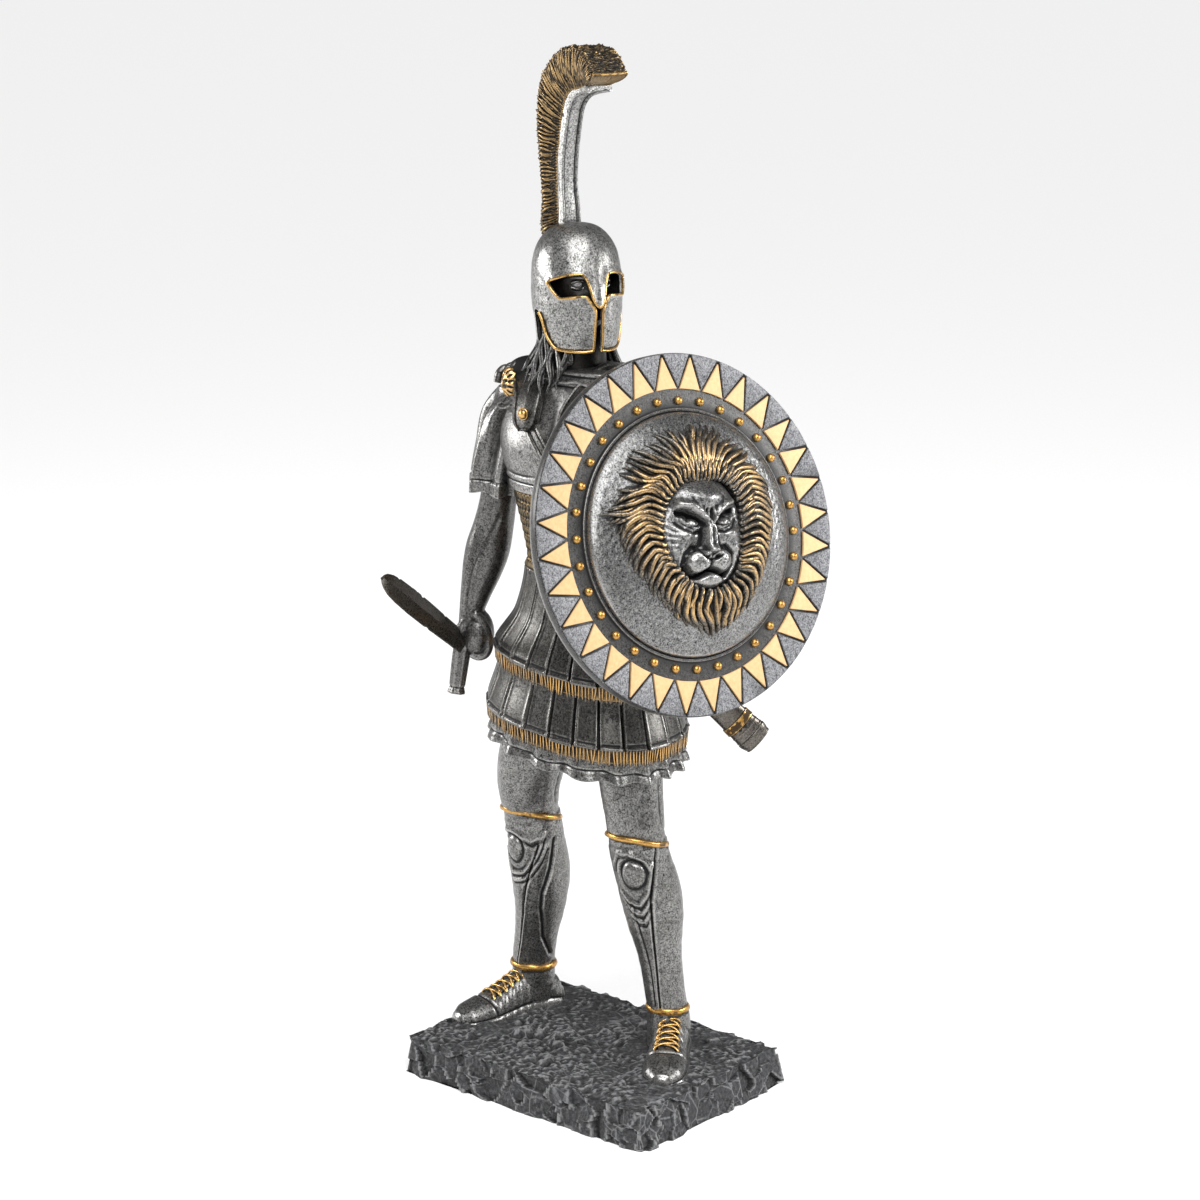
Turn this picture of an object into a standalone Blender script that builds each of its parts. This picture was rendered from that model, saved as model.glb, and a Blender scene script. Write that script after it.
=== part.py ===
"""Greek hoplite statue: a small cast figure with a lion shield and a short sword, on a rough plinth.

Metres, +Z up, origin at the middle of the plinth's underside. The figure looks towards -Y.
"""
import math
import bmesh
import bpy
from mathutils import Matrix, Vector

# Driving dimensions, in metres
figure_height = 0.318          # soles to the top of the crest
plinth_width = 0.0968          # along X
plinth_depth = 0.068           # along Y
plinth_height = 0.0125
plinth_flare = 0.0013          # how far the underside stands out past the top edge
plinth_edge_chip = 0.0009      # roughness of the broken sides
plinth_top_chip = 0.0004       # roughness of the top
sole_sink = 0.0012             # how deep the soles are let into the plinth
fit_gap = 0.0003               # clearance between two pieces that touch
shield_diameter = 0.1092
shield_rim_thickness = 0.0034
shield_back_recess = 0.0014    # depth of the dished back behind the rim
shield_back_rim = 0.0045       # width of the flat ring round the dished back
shield_dome_diameter = 0.0738
shield_dome_rise = 0.0080
lion_rise = 0.0078             # how far the nose stands out of the dome
stud_ring_diameter = 0.0808
stud_height = 0.0011
stud_width = 0.0026
blade_length = 0.0520          # from the fist to the tip
blade_root = 0.0035            # length let into the fist
blade_width = 0.0071
blade_thickness = 0.0026

# Counts of what repeats
stud_count = 32
fold_count = 17
strip_count = 22
lock_count = 16

# The figure is drawn on a grid of 318 units from the soles to the top of the crest
grid_height = 318.0
unit = figure_height / grid_height
sole_level = plinth_height - sole_sink + fit_gap

# Directions, in degrees from -Y towards +X
head_azimuth = 73.0
shield_azimuth = 76.0
shield_lean = 14.6
blade_azimuth = 11.2
blade_rise = 33.9


def at(x, y, z):
    """A place on the figure's drawing grid, z counted from the soles."""
    return Vector((x * unit, y * unit, sole_level + z * unit))


def heading(azimuth):
    angle = math.radians(azimuth)
    return Vector((math.sin(angle), -math.cos(angle), 0.0))


def rises(azimuth, degrees):
    """Unit vector that points at an azimuth and so many degrees up."""
    angle = math.radians(degrees)
    return heading(azimuth) * math.cos(angle) + Vector((0, 0, math.sin(angle)))


def smooth(edge_low, edge_high, value):
    share = min(max((value - edge_low) / (edge_high - edge_low), 0.0), 1.0)
    return share * share * (3.0 - 2.0 * share)


def bump(value, centre, half_width):
    """A smooth hump of height one."""
    share = (value - centre) / half_width
    return math.exp(-share * share)


def curve_through(stations, steps):
    """Catmull-Rom values through a list of equally long number tuples."""
    rows = []
    last = len(stations) - 1
    for index in range(last):
        before = stations[max(index - 1, 0)]
        start = stations[index]
        end = stations[index + 1]
        after = stations[min(index + 2, last)]
        for step in range(steps):
            t = step / steps
            row = []
            for a, b, c, d in zip(before, start, end, after):
                bend = (2 * a - 5 * b + 4 * c - d) * t * t + (3 * b - a - 3 * c + d) * t ** 3
                row.append(0.5 * (2 * b + (c - a) * t + bend))
            rows.append(tuple(row))
    rows.append(tuple(stations[last]))
    return rows


def loft(mesh, rings):
    """Closed body through rings of equally many points, with flat ends."""
    loops = [[mesh.verts.new(point) for point in ring] for ring in rings]
    faces = []
    for lower, upper in zip(loops, loops[1:]):
        for index in range(len(lower)):
            following = (index + 1) % len(lower)
            faces.append(mesh.faces.new((lower[index], lower[following], upper[following], upper[index])))
    faces.append(mesh.faces.new(list(reversed(loops[0]))))
    faces.append(mesh.faces.new(loops[-1]))
    bmesh.ops.recalc_face_normals(mesh, faces=faces)


def limb(mesh, stations, steps=3, sides=20, reference=(0, 1, 0)):
    """Oval tube through stations (x, y, z, half width, half depth) on the drawing grid."""
    rows = curve_through(stations, steps)
    points = [at(*row[:3]) for row in rows]
    rings = []
    for index, row in enumerate(rows):
        tangent = (points[min(index + 1, len(points) - 1)] - points[max(index - 1, 0)]).normalized()
        side = Vector(reference).cross(tangent).normalized()
        front = tangent.cross(side)
        ring = []
        for corner in range(sides):
            angle = 2 * math.pi * corner / sides
            across = side * (math.cos(angle) * row[3] * unit)
            ring.append(points[index] + across + front * (math.sin(angle) * row[4] * unit))
        rings.append(ring)
    loft(mesh, rings)


def blob(mesh, centre, halves, azimuth=0.0):
    """Ellipsoid on the drawing grid, its first half size along the azimuth's right-hand side."""
    made = bmesh.ops.create_uvsphere(mesh, u_segments=20, v_segments=12, radius=1.0)
    spot = Matrix.Translation(at(*centre))
    turn = Matrix.Rotation(math.radians(azimuth), 4, "Z")
    size = Matrix.Diagonal((halves[0] * unit, halves[1] * unit, halves[2] * unit, 1.0))
    bmesh.ops.transform(mesh, matrix=spot @ turn @ size, verts=made["verts"])


def hoop(mesh, centre, half_width, half_depth, tube, tilt=0.0, sides=28):
    """Raised ring round a limb, tilted so that its front rises by tilt units."""
    rings = []
    for step in range(sides):
        angle = 2 * math.pi * step / sides
        out = Vector((math.cos(angle), math.sin(angle), 0.0))
        middle = at(centre[0] + half_width * out.x, centre[1] + half_depth * out.y,
                    centre[2] - tilt * out.y)
        ring = []
        for corner in range(8):
            turn = 2 * math.pi * corner / 8
            ring.append(middle + out * (tube * unit * math.cos(turn))
                        + Vector((0, 0, tube * unit * math.sin(turn))))
        rings.append(ring)
    loops = [[mesh.verts.new(point) for point in ring] for ring in rings]
    faces = []
    for index, loop in enumerate(loops):
        following = loops[(index + 1) % sides]
        for corner in range(8):
            beside = (corner + 1) % 8
            faces.append(mesh.faces.new((loop[corner], loop[beside], following[beside], following[corner])))
    bmesh.ops.recalc_face_normals(mesh, faces=faces)


# Torso sections from hem to neck: height, middle x, middle y, half width, half depth
torso_sections = [
    (97.4, -6.4, 6.9, 33.0, 25.4),
    (107, -6.4, 6.9, 31.2, 23.8),
    (118, -6.4, 6.9, 29.6, 22.3),
    (130, -6.2, 7.2, 27.6, 20.4),
    (143, -5.6, 7.5, 23.6, 17.0),
    (156, -5.0, 7.5, 21.5, 15.2),
    (166, -5.0, 7.0, 22.5, 15.8),
    (178, -5.0, 6.5, 25.5, 17.0),
    (192, -5.0, 6.0, 28.5, 17.5),
    (203, -5.0, 6.5, 29.5, 16.0),
    (213, -5.0, 7.0, 24.5, 13.0),
    (221, -5.5, 7.0, 15.5, 10.5),
    (228, -6.5, 6.0, 9.5, 9.5),
    (236, -8.0, 4.0, 8.5, 8.5),
]
torso_rows = curve_through(torso_sections, 10)


def torso_section(z):
    """Interpolated section at a height on the drawing grid."""
    for low, high in zip(torso_rows, torso_rows[1:]):
        if z <= high[0]:
            share = (z - low[0]) / (high[0] - low[0])
            return [a + (b - a) * share for a, b in zip(low, high)]
    return list(torso_rows[-1])


def dress_relief(angle, z):
    """How far tunic, straps and cuirass stand out of the torso, in grid units."""
    relief = 0.0
    folds = math.cos(fold_count * angle + 1.3 * math.sin(2 * angle))
    relief += 1.3 * folds * (1 - smooth(98, 111, z))
    strips = abs(math.sin(0.5 * strip_count * angle))
    groove = 1 - smooth(0.0, 0.30, strips)
    for low, high, flare in ((108.0, 128.0, 1.8), (126.9, 149.0, 2.2)):
        inside = smooth(low - 0.8, low + 0.4, z) * (1 - smooth(high - 1.0, high, z))
        lower = 1 - smooth(low, low + 14.0, z)
        relief += inside * (0.6 + flare * lower - 0.9 * groove)
    relief += 1.0 * smooth(148.5, 150, z) * (1 - smooth(153.5, 155, z))
    relief += 1.3 * smooth(173.5, 175.5, z) * (1 - smooth(214, 222, z))
    chest = bump(z, 193, 11) * (bump(angle, -2.05, 0.42) + bump(angle, -1.09, 0.42))
    relief += 1.6 * chest
    return relief


def hang(along, back, z):
    """How far the skirt's edges drop to the figure's left, where the hip is lower."""
    return (-0.124 * along + 0.026 * back) * (1 - smooth(128, 152, z))


def torso_point(angle, z, lift=0.0):
    """Point on the dressed torso; angle counts from +X towards +Y."""
    section = torso_section(z)
    power = 2.3
    across = math.cos(angle)
    front = math.sin(angle)
    reach = (abs(across) ** power + abs(front) ** power) ** (-1 / power)
    grow = dress_relief(angle, z) + lift
    along = across * (section[3] * reach + grow)
    back = front * (section[4] * reach + grow)
    return at(section[1] + along, section[2] + back, z + hang(along, back, z))


def torso(mesh):
    """Tunic, straps, waist and cuirass as one closed body, hollowed a little under the hem."""
    sides = 132
    rings = []
    hem = torso_sections[0]
    for share, lift in ((0.55, 5.0), (0.86, 3.0)):
        ring = []
        for step in range(sides):
            angle = 2 * math.pi * step / sides
            along = hem[3] * share * math.cos(angle)
            back = hem[4] * share * math.sin(angle)
            ring.append(at(hem[1] + along, hem[2] + back, hem[0] + lift + hang(along, back, hem[0])))
        rings.append(ring)
    height = hem[0]
    while height <= torso_sections[-1][0]:
        rings.append([torso_point(2 * math.pi * step / sides, height) for step in range(sides)])
        height += 1.3
    loft(mesh, rings)


def baldric(mesh):
    """Flat strap over the right shoulder and across the chest to the left hip."""
    width = 3.0
    high, low = 214.0, 156.0
    for start, end in ((-2.15, -0.35), (2.45, 0.51)):
        rings = []
        for step in range(25):
            share = step / 24
            angle = start + (end - start) * share
            z = high + (low - high) * share
            rings.append([torso_point(angle, z + width, -1.5), torso_point(angle, z + width, 1.0),
                          torso_point(angle, z - width, 1.0), torso_point(angle, z - width, -1.5)])
        loft(mesh, rings)


def leg(mesh, axis, ring, ankle):
    """Bare thigh and greave in one outline, with the rings at the knee and the ankle."""
    limb(mesh, axis, steps=3, sides=22)
    hoop(mesh, ring, ring[3], ring[3], 0.85, tilt=2.6)
    hoop(mesh, ankle, ankle[3], ankle[3], 0.8)


def legs(mesh):
    right_axis = [(-15, 8, 112, 12, 12), (-23, 3.5, 96, 10.6, 11), (-26.8, 3.0, 84, 9.9, 10.0),
                  (-28.3, 4.6, 73, 9.0, 9.2), (-28.2, 6.0, 64, 8.9, 9.2), (-29.8, 10.0, 50, 8.7, 10.2),
                  (-31.2, 12.0, 38, 7.5, 8.8), (-33.2, 13.2, 27, 6.3, 6.9), (-35.2, 14.2, 18, 6.2, 6.4),
                  (-35.9, 14.3, 10, 6.4, 6.9), (-35.9, 13.8, 3, 6.0, 7.0)]
    left_axis = [(6, 9, 112, 12, 12), (10.5, 7.4, 98, 11.0, 11), (13.5, 6.0, 86, 10.2, 10.4),
                 (16.0, 5.2, 74, 9.5, 9.6), (17.2, 6.2, 66, 9.2, 9.4), (19.4, 8.2, 55, 9.2, 10.4),
                 (20.5, 9.4, 45, 8.5, 9.4), (21.6, 10.6, 33, 6.7, 7.3), (23.2, 11.4, 18, 6.1, 6.4),
                 (23.8, 11.6, 10, 6.3, 6.9), (23.8, 11.4, 3, 6.0, 7.0)]
    leg(mesh, right_axis, (-28.3, 4.6, 71.4, 9.2), (-35.5, 14.2, 15.4, 6.5))
    leg(mesh, left_axis, (16.1, 5.3, 71.6, 9.8), (23.4, 11.4, 15.4, 6.3))
    # Kneecaps stand proud under the greaves' upper rings
    blob(mesh, (-27.2, -2.4, 63.5), (4.6, 3.2, 5.6), -16)
    blob(mesh, (18.6, -1.2, 64.5), (4.8, 3.2, 5.8), 20)


foot_stations = [
    # share of the length from heel to toe, half width, height
    (0.00, 2.6, 5.0),
    (0.06, 4.7, 9.5),
    (0.22, 5.9, 14.0),
    (0.42, 6.0, 13.0),
    (0.60, 6.6, 9.4),
    (0.76, 7.2, 7.2),
    (0.90, 6.2, 5.6),
    (0.98, 3.6, 3.8),
    (1.00, 2.0, 2.6),
]
right_foot = ((-32.6, 24.2), (-44.2, -15.2))
left_foot = ((18.4, 22.0), (40.6, -13.0))


def shoe(mesh, heel, toe):
    """Flat-soled shoe from heel to toe."""
    start = at(heel[0], heel[1], 0)
    run = at(toe[0], toe[1], 0) - start
    side = Vector((run.y, -run.x, 0)).normalized()
    rings = []
    for share, half, height in curve_through(foot_stations, 3):
        middle = start + run * share
        ring = []
        for corner in range(17):
            angle = math.pi * corner / 16
            across = math.copysign(abs(math.cos(angle)) ** 0.75, math.cos(angle))
            ring.append(middle + side * (half * unit * across)
                        + Vector((0, 0, height * unit * math.sin(angle) ** 0.8)))
        rings.append(ring)
    loft(mesh, rings)


def sleeve(mesh, stations, phase):
    """Short tunic sleeve with folds that open towards the hem."""
    rows = curve_through(stations, 8)
    sides = 60
    rings = []
    for index, row in enumerate(rows):
        share = index / (len(rows) - 1)
        ring = []
        for step in range(sides):
            angle = 2 * math.pi * step / sides
            fold = 0.95 * share * math.cos(11 * angle + phase + 1.5 * math.sin(angle))
            ring.append(at(row[0] + (row[3] + fold) * math.cos(angle),
                           row[1] + (row[4] + fold) * math.sin(angle), row[2]))
        rings.append(ring)
    loft(mesh, rings)


right_fist = (-45.4, -4.4, 128.6)


def right_arm(mesh):
    """Sleeve, bare arm, fist and the hilt that runs down from it."""
    sleeve(mesh, [(-26.5, 6.0, 211, 8.5, 9.0), (-31.0, 4.8, 203, 9.4, 11.0), (-33.4, 2.8, 192, 8.8, 11.0),
                  (-34.6, 1.4, 181, 8.8, 10.8), (-35.0, 0.8, 174.5, 9.2, 11.0)], 0.4)
    limb(mesh, [(-35, 1, 188, 6.0, 6.6), (-36.4, -0.4, 176, 5.4, 6.4), (-39.2, 0.2, 166, 6.0, 6.8),
                (-40.8, -0.6, 158, 6.6, 7.0), (-42.4, -2.0, 151, 6.2, 6.4), (-44.2, -3.4, 143, 4.8, 5.0),
                (-45.2, -4.2, 137, 3.9, 4.1), (-45.5, -4.5, 130, 4.0, 4.2)], steps=4)
    x, y, z = right_fist
    blob(mesh, (x, y, z + 1.5), (5.1, 6.0, 8.2), -8)
    for finger in range(4):
        blob(mesh, (x + 1.6, y - 3.9 + 0.25 * finger, z + 6.0 - 4.1 * finger), (4.6, 3.6, 2.3), -8)
    blob(mesh, (x - 3.0, y - 3.6, z + 5.6), (2.4, 4.4, 3.4), 10)
    limb(mesh, [(x, y, z, 3.0, 3.0), (x - 1.2, y - 1.2, z - 9, 2.9, 2.9),
                (x - 2.8, y - 2.9, z - 17.5, 2.3, 2.3)], steps=2, sides=12)


# Seat of the shield: a spot on its dished back, and its outward, rightward and upward directions
shield_seat = at(41.2, -4.6, 174.9)
shield_out = rises(shield_azimuth, shield_lean)
shield_right = Vector((0, 0, 1)).cross(shield_out).normalized()
shield_up = shield_out.cross(shield_right)


def shield_frame(middle):
    """Placement whose X, Y and Z run rightward, upward and outward on the shield."""
    return Matrix.Translation(middle) @ Matrix((shield_right, shield_up, shield_out)).transposed().to_4x4()


def behind_shield(right, up, depth):
    """Grid numbers of a spot so far behind the dished back."""
    spot = shield_seat + (shield_right * right + shield_up * up - shield_out * depth) * unit
    return (spot.x / unit, spot.y / unit, (spot.z - sole_level) / unit)


def left_arm(mesh):
    """Sleeve, bent arm, arm band and fist behind the shield."""
    sleeve(mesh, [(14.0, 6.5, 213, 8.5, 9.0), (19.5, 6.6, 205, 9.2, 10.6), (23.2, 7.2, 196, 8.6, 10.4),
                  (26.0, 8.4, 186, 8.4, 10.2), (27.4, 9.2, 180, 8.6, 10.4)], 1.9)
    elbow = behind_shield(17, -9, 6.4)
    middle = behind_shield(3, -4, 5.2)
    wrist = behind_shield(-13, 1, 4.6)
    fist = behind_shield(-21, 3, 5.0)
    limb(mesh, [(25, 7.5, 196, 6.2, 6.4), (28.5, 9.2, 183, 6.0, 6.2),
                (elbow[0] - 3.6, elbow[1] - 1.0, elbow[2] + 4.5, 6.0, 6.2),
                (elbow[0] - 0.6, elbow[1] + 0.6, elbow[2] - 1.0, 5.4, 5.6)], steps=4)
    limb(mesh, [elbow + (5.6, 5.6), middle + (5.4, 5.4), wrist + (4.1, 4.1), fist + (4.0, 4.0)],
         steps=4, reference=(0, 0, 1))
    blob(mesh, fist, (5.0, 6.4, 6.2), shield_azimuth - 90)
    # Broad band that carries the shield, flat against its dished back
    start = behind_shield(-3.5, -4.2, 4.3)
    end = behind_shield(9.5, -6.4, 4.3)
    limb(mesh, [start + (8.0, 6.6), end + (8.0, 6.6)], steps=2, reference=(0, 0, 1))


def shoulder_flap(mesh, side):
    """Cuirass flap over a shoulder, with a rounded tab on the chest."""
    stations = [(12.5, 23.0, 196, 6.0), (14.5, 19.0, 208, 7.5), (17.0, 12.0, 217.0, 9.0), (17.5, 5.0, 218.6, 9.6),
                (16.4, -2.5, 214.0, 8.6), (14.0, -8.2, 207.0, 6.8), (12.6, -10.6, 200.0, 5.8),
                (12.2, -11.4, 195.0, 4.0), (12.2, -11.5, 192.6, 1.5)]
    rows = curve_through(stations, 4)
    thickness = 2.6
    rings = []
    for index, row in enumerate(rows):
        before = rows[max(index - 1, 0)]
        after = rows[min(index + 1, len(rows) - 1)]
        run = Vector((0, after[1] - before[1], after[2] - before[2])).normalized()
        out = Vector((0, run.z, -run.y))
        if out.z < 0 and row[2] > 212:
            out = -out
        middle = Vector((-5 + side * row[0], row[1], row[2]))
        ring = []
        for across, lift in ((-1, -1), (-1, 0.35), (-0.82, 1.0), (-0.55, 0.75), (0.55, 0.75), (0.82, 1.0),
                             (1, 0.35), (1, -1)):
            slope = Vector((side * across * row[3], 0, -abs(across) * 0.5 - 0.18 * across * row[3]))
            spot = middle + slope + out * (lift * thickness * 0.5)
            ring.append(at(*spot))
        rings.append(ring)
    loft(mesh, rings)


def chest_details(mesh):
    """Lion medallion, rivet, locks of hair and the collar."""
    blob(mesh, (-30.0, -1.6, 212.0), (3.4, 3.0, 4.6), -30)
    blob(mesh, (-17.8, -10.6, 204.6), (1.5, 1.2, 1.5))
    for lock in range(7):
        angle = math.radians(70 + 26 * lock)
        reach = 11.5
        x = -7 + reach * math.cos(angle)
        y = 5 + reach * math.sin(angle)
        drop = 16 if 1 < lock < 6 else 9
        limb(mesh, [(x * 0.9 - 0.8, y * 0.9 + 0.5, 232, 2.4, 2.4), (x, y, 226, 2.6, 2.4),
                    (x - 1.6, y + 1.6, 226 - drop * 0.6, 2.4, 2.0), (x - 2.0, y + 2.4, 226 - drop, 1.2, 1.2)],
             steps=3, sides=8)


head_middle = (-8.0, 4.0)


def in_head(forward, side, z):
    """Grid point in the head's own directions: forward, to its left, and up."""
    front = heading(head_azimuth)
    left = Vector((-front.y, front.x, 0))
    spot = Vector((head_middle[0], head_middle[1], 0)) + front * forward + left * side
    return at(spot.x, spot.y, z)


helmet_sections = [
    # height, forward reach, backward reach, half width
    (225.2, 12.8, 10.4, 10.6),
    (228.0, 14.0, 12.6, 11.8),
    (233.0, 14.8, 13.0, 12.6),
    (239.0, 15.4, 14.4, 13.4),
    (246.0, 15.6, 15.0, 13.8),
    (252.0, 15.0, 15.2, 13.7),
    (257.0, 12.9, 13.6, 12.4),
    (261.0, 9.4, 10.2, 9.4),
    (263.2, 5.2, 6.4, 5.6),
    (263.9, 1.5, 2.0, 1.6),
]


def helmet(mesh):
    """Closed-face helmet with sunk eye openings, a slit between the cheeks and a flared neck guard."""
    sides = 72
    rings = []
    for height, ahead, behind, half in curve_through(helmet_sections, 5):
        ring = []
        for step in range(sides):
            angle = 2 * math.pi * step / sides - math.pi
            turn = abs(math.degrees(angle))
            reach = ahead if math.cos(angle) > 0 else behind
            scale = 1.0
            eye_width = bump(turn, 32, 19)
            scale -= 0.20 * eye_width * bump(height, 242.6, 3.6)
            scale -= 0.20 * bump(turn, 0, 6) * (1 - smooth(238.5, 240.5, height))
            scale += 0.07 * bump(turn, 0, 8) * bump(height, 242.5, 4.5)
            scale -= 0.16 * bump(turn, 112, 11) * (1 - smooth(233, 237, height))
            scale += 0.20 * smooth(125, 150, turn) * (1 - smooth(222, 238, height))
            ring.append(in_head(reach * scale * math.cos(angle), half * scale * math.sin(angle), height))
        rings.append(ring)
    loft(mesh, rings)


crest_stations = [
    # inner line and outer line of the hair: forward, height, forward, height, inner and outer half width
    (-6.4, 258.0, -12.8, 253.0, 2.6, 3.6),
    (-5.6, 265.0, -12.2, 262.0, 2.8, 4.4),
    (-5.6, 273.0, -10.0, 271.5, 2.8, 5.0),
    (-5.8, 281.0, -10.6, 282.0, 2.8, 5.4),
    (-4.6, 289.0, -12.2, 292.0, 2.8, 5.8),
    (-3.0, 296.0, -11.6, 303.0, 2.8, 6.0),
    (-1.0, 301.0, -6.4, 311.5, 2.9, 6.2),
    (2.6, 303.6, 1.6, 316.6, 3.0, 6.3),
    (7.0, 304.6, 11.0, 317.8, 3.2, 6.6),
    (11.0, 305.4, 17.0, 315.0, 3.6, 6.8),
    (13.6, 305.8, 20.6, 311.4, 4.2, 6.8),
]
holder_stations = [
    # forward, height, half width of the front panel
    (-4.0, 258.0, 3.6),
    (-3.4, 266.0, 3.2),
    (-4.6, 274.0, 3.0),
    (-4.4, 282.0, 3.0),
    (-2.8, 291.0, 3.0),
    (-0.6, 298.6, 3.0),
    (3.0, 302.6, 3.2),
    (8.0, 304.0, 3.5),
    (12.0, 304.6, 4.2),
    (14.6, 304.9, 4.6),
]


def crest(mesh):
    """Tall curved crest: a holder and the brush of hair along its back and top."""
    rings = []
    for ahead, low, outer, high, narrow, wide in curve_through(crest_stations, 4):
        middle = ((ahead + outer) / 2, (low + high) / 2)
        half = (narrow + wide) / 2 + 0.4
        rings.append([in_head(ahead, -narrow, low), in_head(middle[0], -half, middle[1]),
                      in_head(outer, -wide, high), in_head(outer, 0, high + 0.2),
                      in_head(outer, wide, high), in_head(middle[0], half, middle[1]),
                      in_head(ahead, narrow, low)])
    loft(mesh, rings)
    rings = []
    rows = curve_through(holder_stations, 4)
    for index, row in enumerate(rows):
        before = rows[max(index - 1, 0)]
        after = rows[min(index + 1, len(rows) - 1)]
        run = Vector((after[0] - before[0], after[1] - before[1])).normalized()
        ahead, up = run.y * 1.3, -run.x * 1.3
        rings.append([in_head(row[0] + ahead, -row[2], row[1] + up), in_head(row[0] + ahead, row[2], row[1] + up),
                      in_head(row[0] - ahead, row[2], row[1] - up), in_head(row[0] - ahead, -row[2], row[1] - up)])
    loft(mesh, rings)


def scabbard(mesh):
    """Flat scabbard at the left hip, pointing down and back."""
    limb(mesh, [(8.2, 10.0, 137.6, 2.2, 4.6), (16.0, 20.0, 125.6, 2.2, 4.8), (24.6, 31.0, 112.2, 2.1, 5.0),
                (30.4, 38.4, 103.2, 2.2, 5.2), (33.2, 42.0, 98.8, 2.4, 5.6), (34.6, 43.8, 96.6, 1.8, 4.6)],
         steps=3, sides=14, reference=(0, 0, 1))


def material(name, colour, roughness, metallic):
    finish = bpy.data.materials.new(name)
    finish.use_nodes = True
    shader = finish.node_tree.nodes["Principled BSDF"]
    shader.inputs["Base Color"].default_value = (*colour, 1.0)
    shader.inputs["Roughness"].default_value = roughness
    shader.inputs["Metallic"].default_value = metallic
    return finish


def piece(name, mesh, finish):
    """Object from a bmesh, in the finish given."""
    data = bpy.data.meshes.new(name)
    mesh.to_mesh(data)
    mesh.free()
    data.materials.append(finish)
    made = bpy.data.objects.new(name, data)
    bpy.context.scene.collection.objects.link(made)
    return made


def cutter(name, mesh):
    """Hidden shape that is cut out of a neighbour."""
    made = piece(name, mesh, material(name + "_guide", (0.5, 0.5, 0.5), 0.5, 0.0))
    made.hide_render = True
    made.display_type = "WIRE"
    return made


def cut(target, guide):
    step = target.modifiers.new("cut " + guide.name, "BOOLEAN")
    step.operation = "DIFFERENCE"
    step.solver = "EXACT"
    step.object = guide


blade_direction = rises(blade_azimuth, blade_rise)
blade_side = Vector((0, 0, 1)).cross(blade_direction).normalized()
blade_edge = blade_direction.cross(blade_side)
fist_grip = at(right_fist[0], right_fist[1] - 6.2, right_fist[2])


def blade_body(mesh, grow, root, reach):
    """Leaf-shaped blade with a ridge along the middle of both faces."""
    profile = [(0.00, 0.80), (0.18, 0.84), (0.42, 0.97), (0.62, 1.0), (0.80, 0.86), (0.92, 0.58), (0.98, 0.28),
               (1.00, 0.10)]
    rows = [(-root, 0.80)] + [(share * reach, size) for share, size in profile if reach > 0 or share == 0]
    rings = []
    for distance, size in rows:
        middle = fist_grip + blade_direction * distance
        half = blade_edge * (blade_width / 2 * size + grow)
        thick = blade_side * (blade_thickness / 2 * (0.45 + 0.55 * size) + grow)
        rings.append([middle + half, middle + thick, middle - half, middle - thick])
    loft(mesh, rings)


def make_sword_blade():
    mesh = bmesh.new()
    blade_body(mesh, 0.0, blade_root, blade_length)
    return piece("sword_blade", mesh, material("gunmetal", (0.10, 0.095, 0.09), 0.36, 0.9))


def lion_relief(x, y):
    """Rise of the lion's head over the dome; x and y run from -1 to 1 over the dome's half width."""
    radius = math.hypot(x * 1.06, y - 0.02)
    angle = math.atan2(y, x)
    face = math.hypot(x * 1.25, y - 0.02) / 0.46
    # Mane: a thick ring of locks that curl as they run outwards
    locks = math.cos(lock_count * angle + 7.0 * radius)
    rise = (0.30 + 0.10 * locks * smooth(0.44, 0.60, radius)) * smooth(0.92, 0.68, radius)
    rise += 0.10 * smooth(1.2, 0.8, face)
    rise -= 0.16 * bump(face, 1.08, 0.14)
    # Forehead, brow, eyes, cheeks, muzzle lobes and ears
    rise += 0.12 * bump(math.hypot(x, 0.8 * (y - 0.30)), 0.0, 0.18)
    for side in (-1, 1):
        rise += 0.14 * bump(x, side * 0.17, 0.12) * bump(y - 0.35 * abs(x), 0.13, 0.06)
        rise -= 0.16 * bump(x, side * 0.21, 0.09) * bump(y, 0.09, 0.06)
        rise += 0.09 * bump(x, side * 0.26, 0.09) * bump(y, -0.04, 0.09)
        rise += 0.20 * bump(x, side * 0.12, 0.10) * bump(y, -0.21, 0.09)
    # Nose bridge that widens downwards, mouth and chin
    rise += 0.26 * bump(x, 0.0, 0.10 - 0.08 * y) * smooth(0.34, -0.10, y) * smooth(-0.26, -0.15, y)
    rise -= 0.14 * bump(x, 0.0, 0.16) * bump(y, -0.32, 0.035)
    rise += 0.16 * bump(x, 0.0, 0.12) * bump(y, -0.41, 0.07)
    return lion_rise * rise / 0.80


def shield_rise(radius, x, y):
    """Height of the shield's face over its rim, in metres."""
    dome = shield_dome_diameter / 2
    if radius >= dome:
        return 0.0
    share = radius / dome
    return shield_dome_rise * math.sqrt(1 - share * share) * 0.86 + 0.0006 + lion_relief(x / dome, y / dome)


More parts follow.
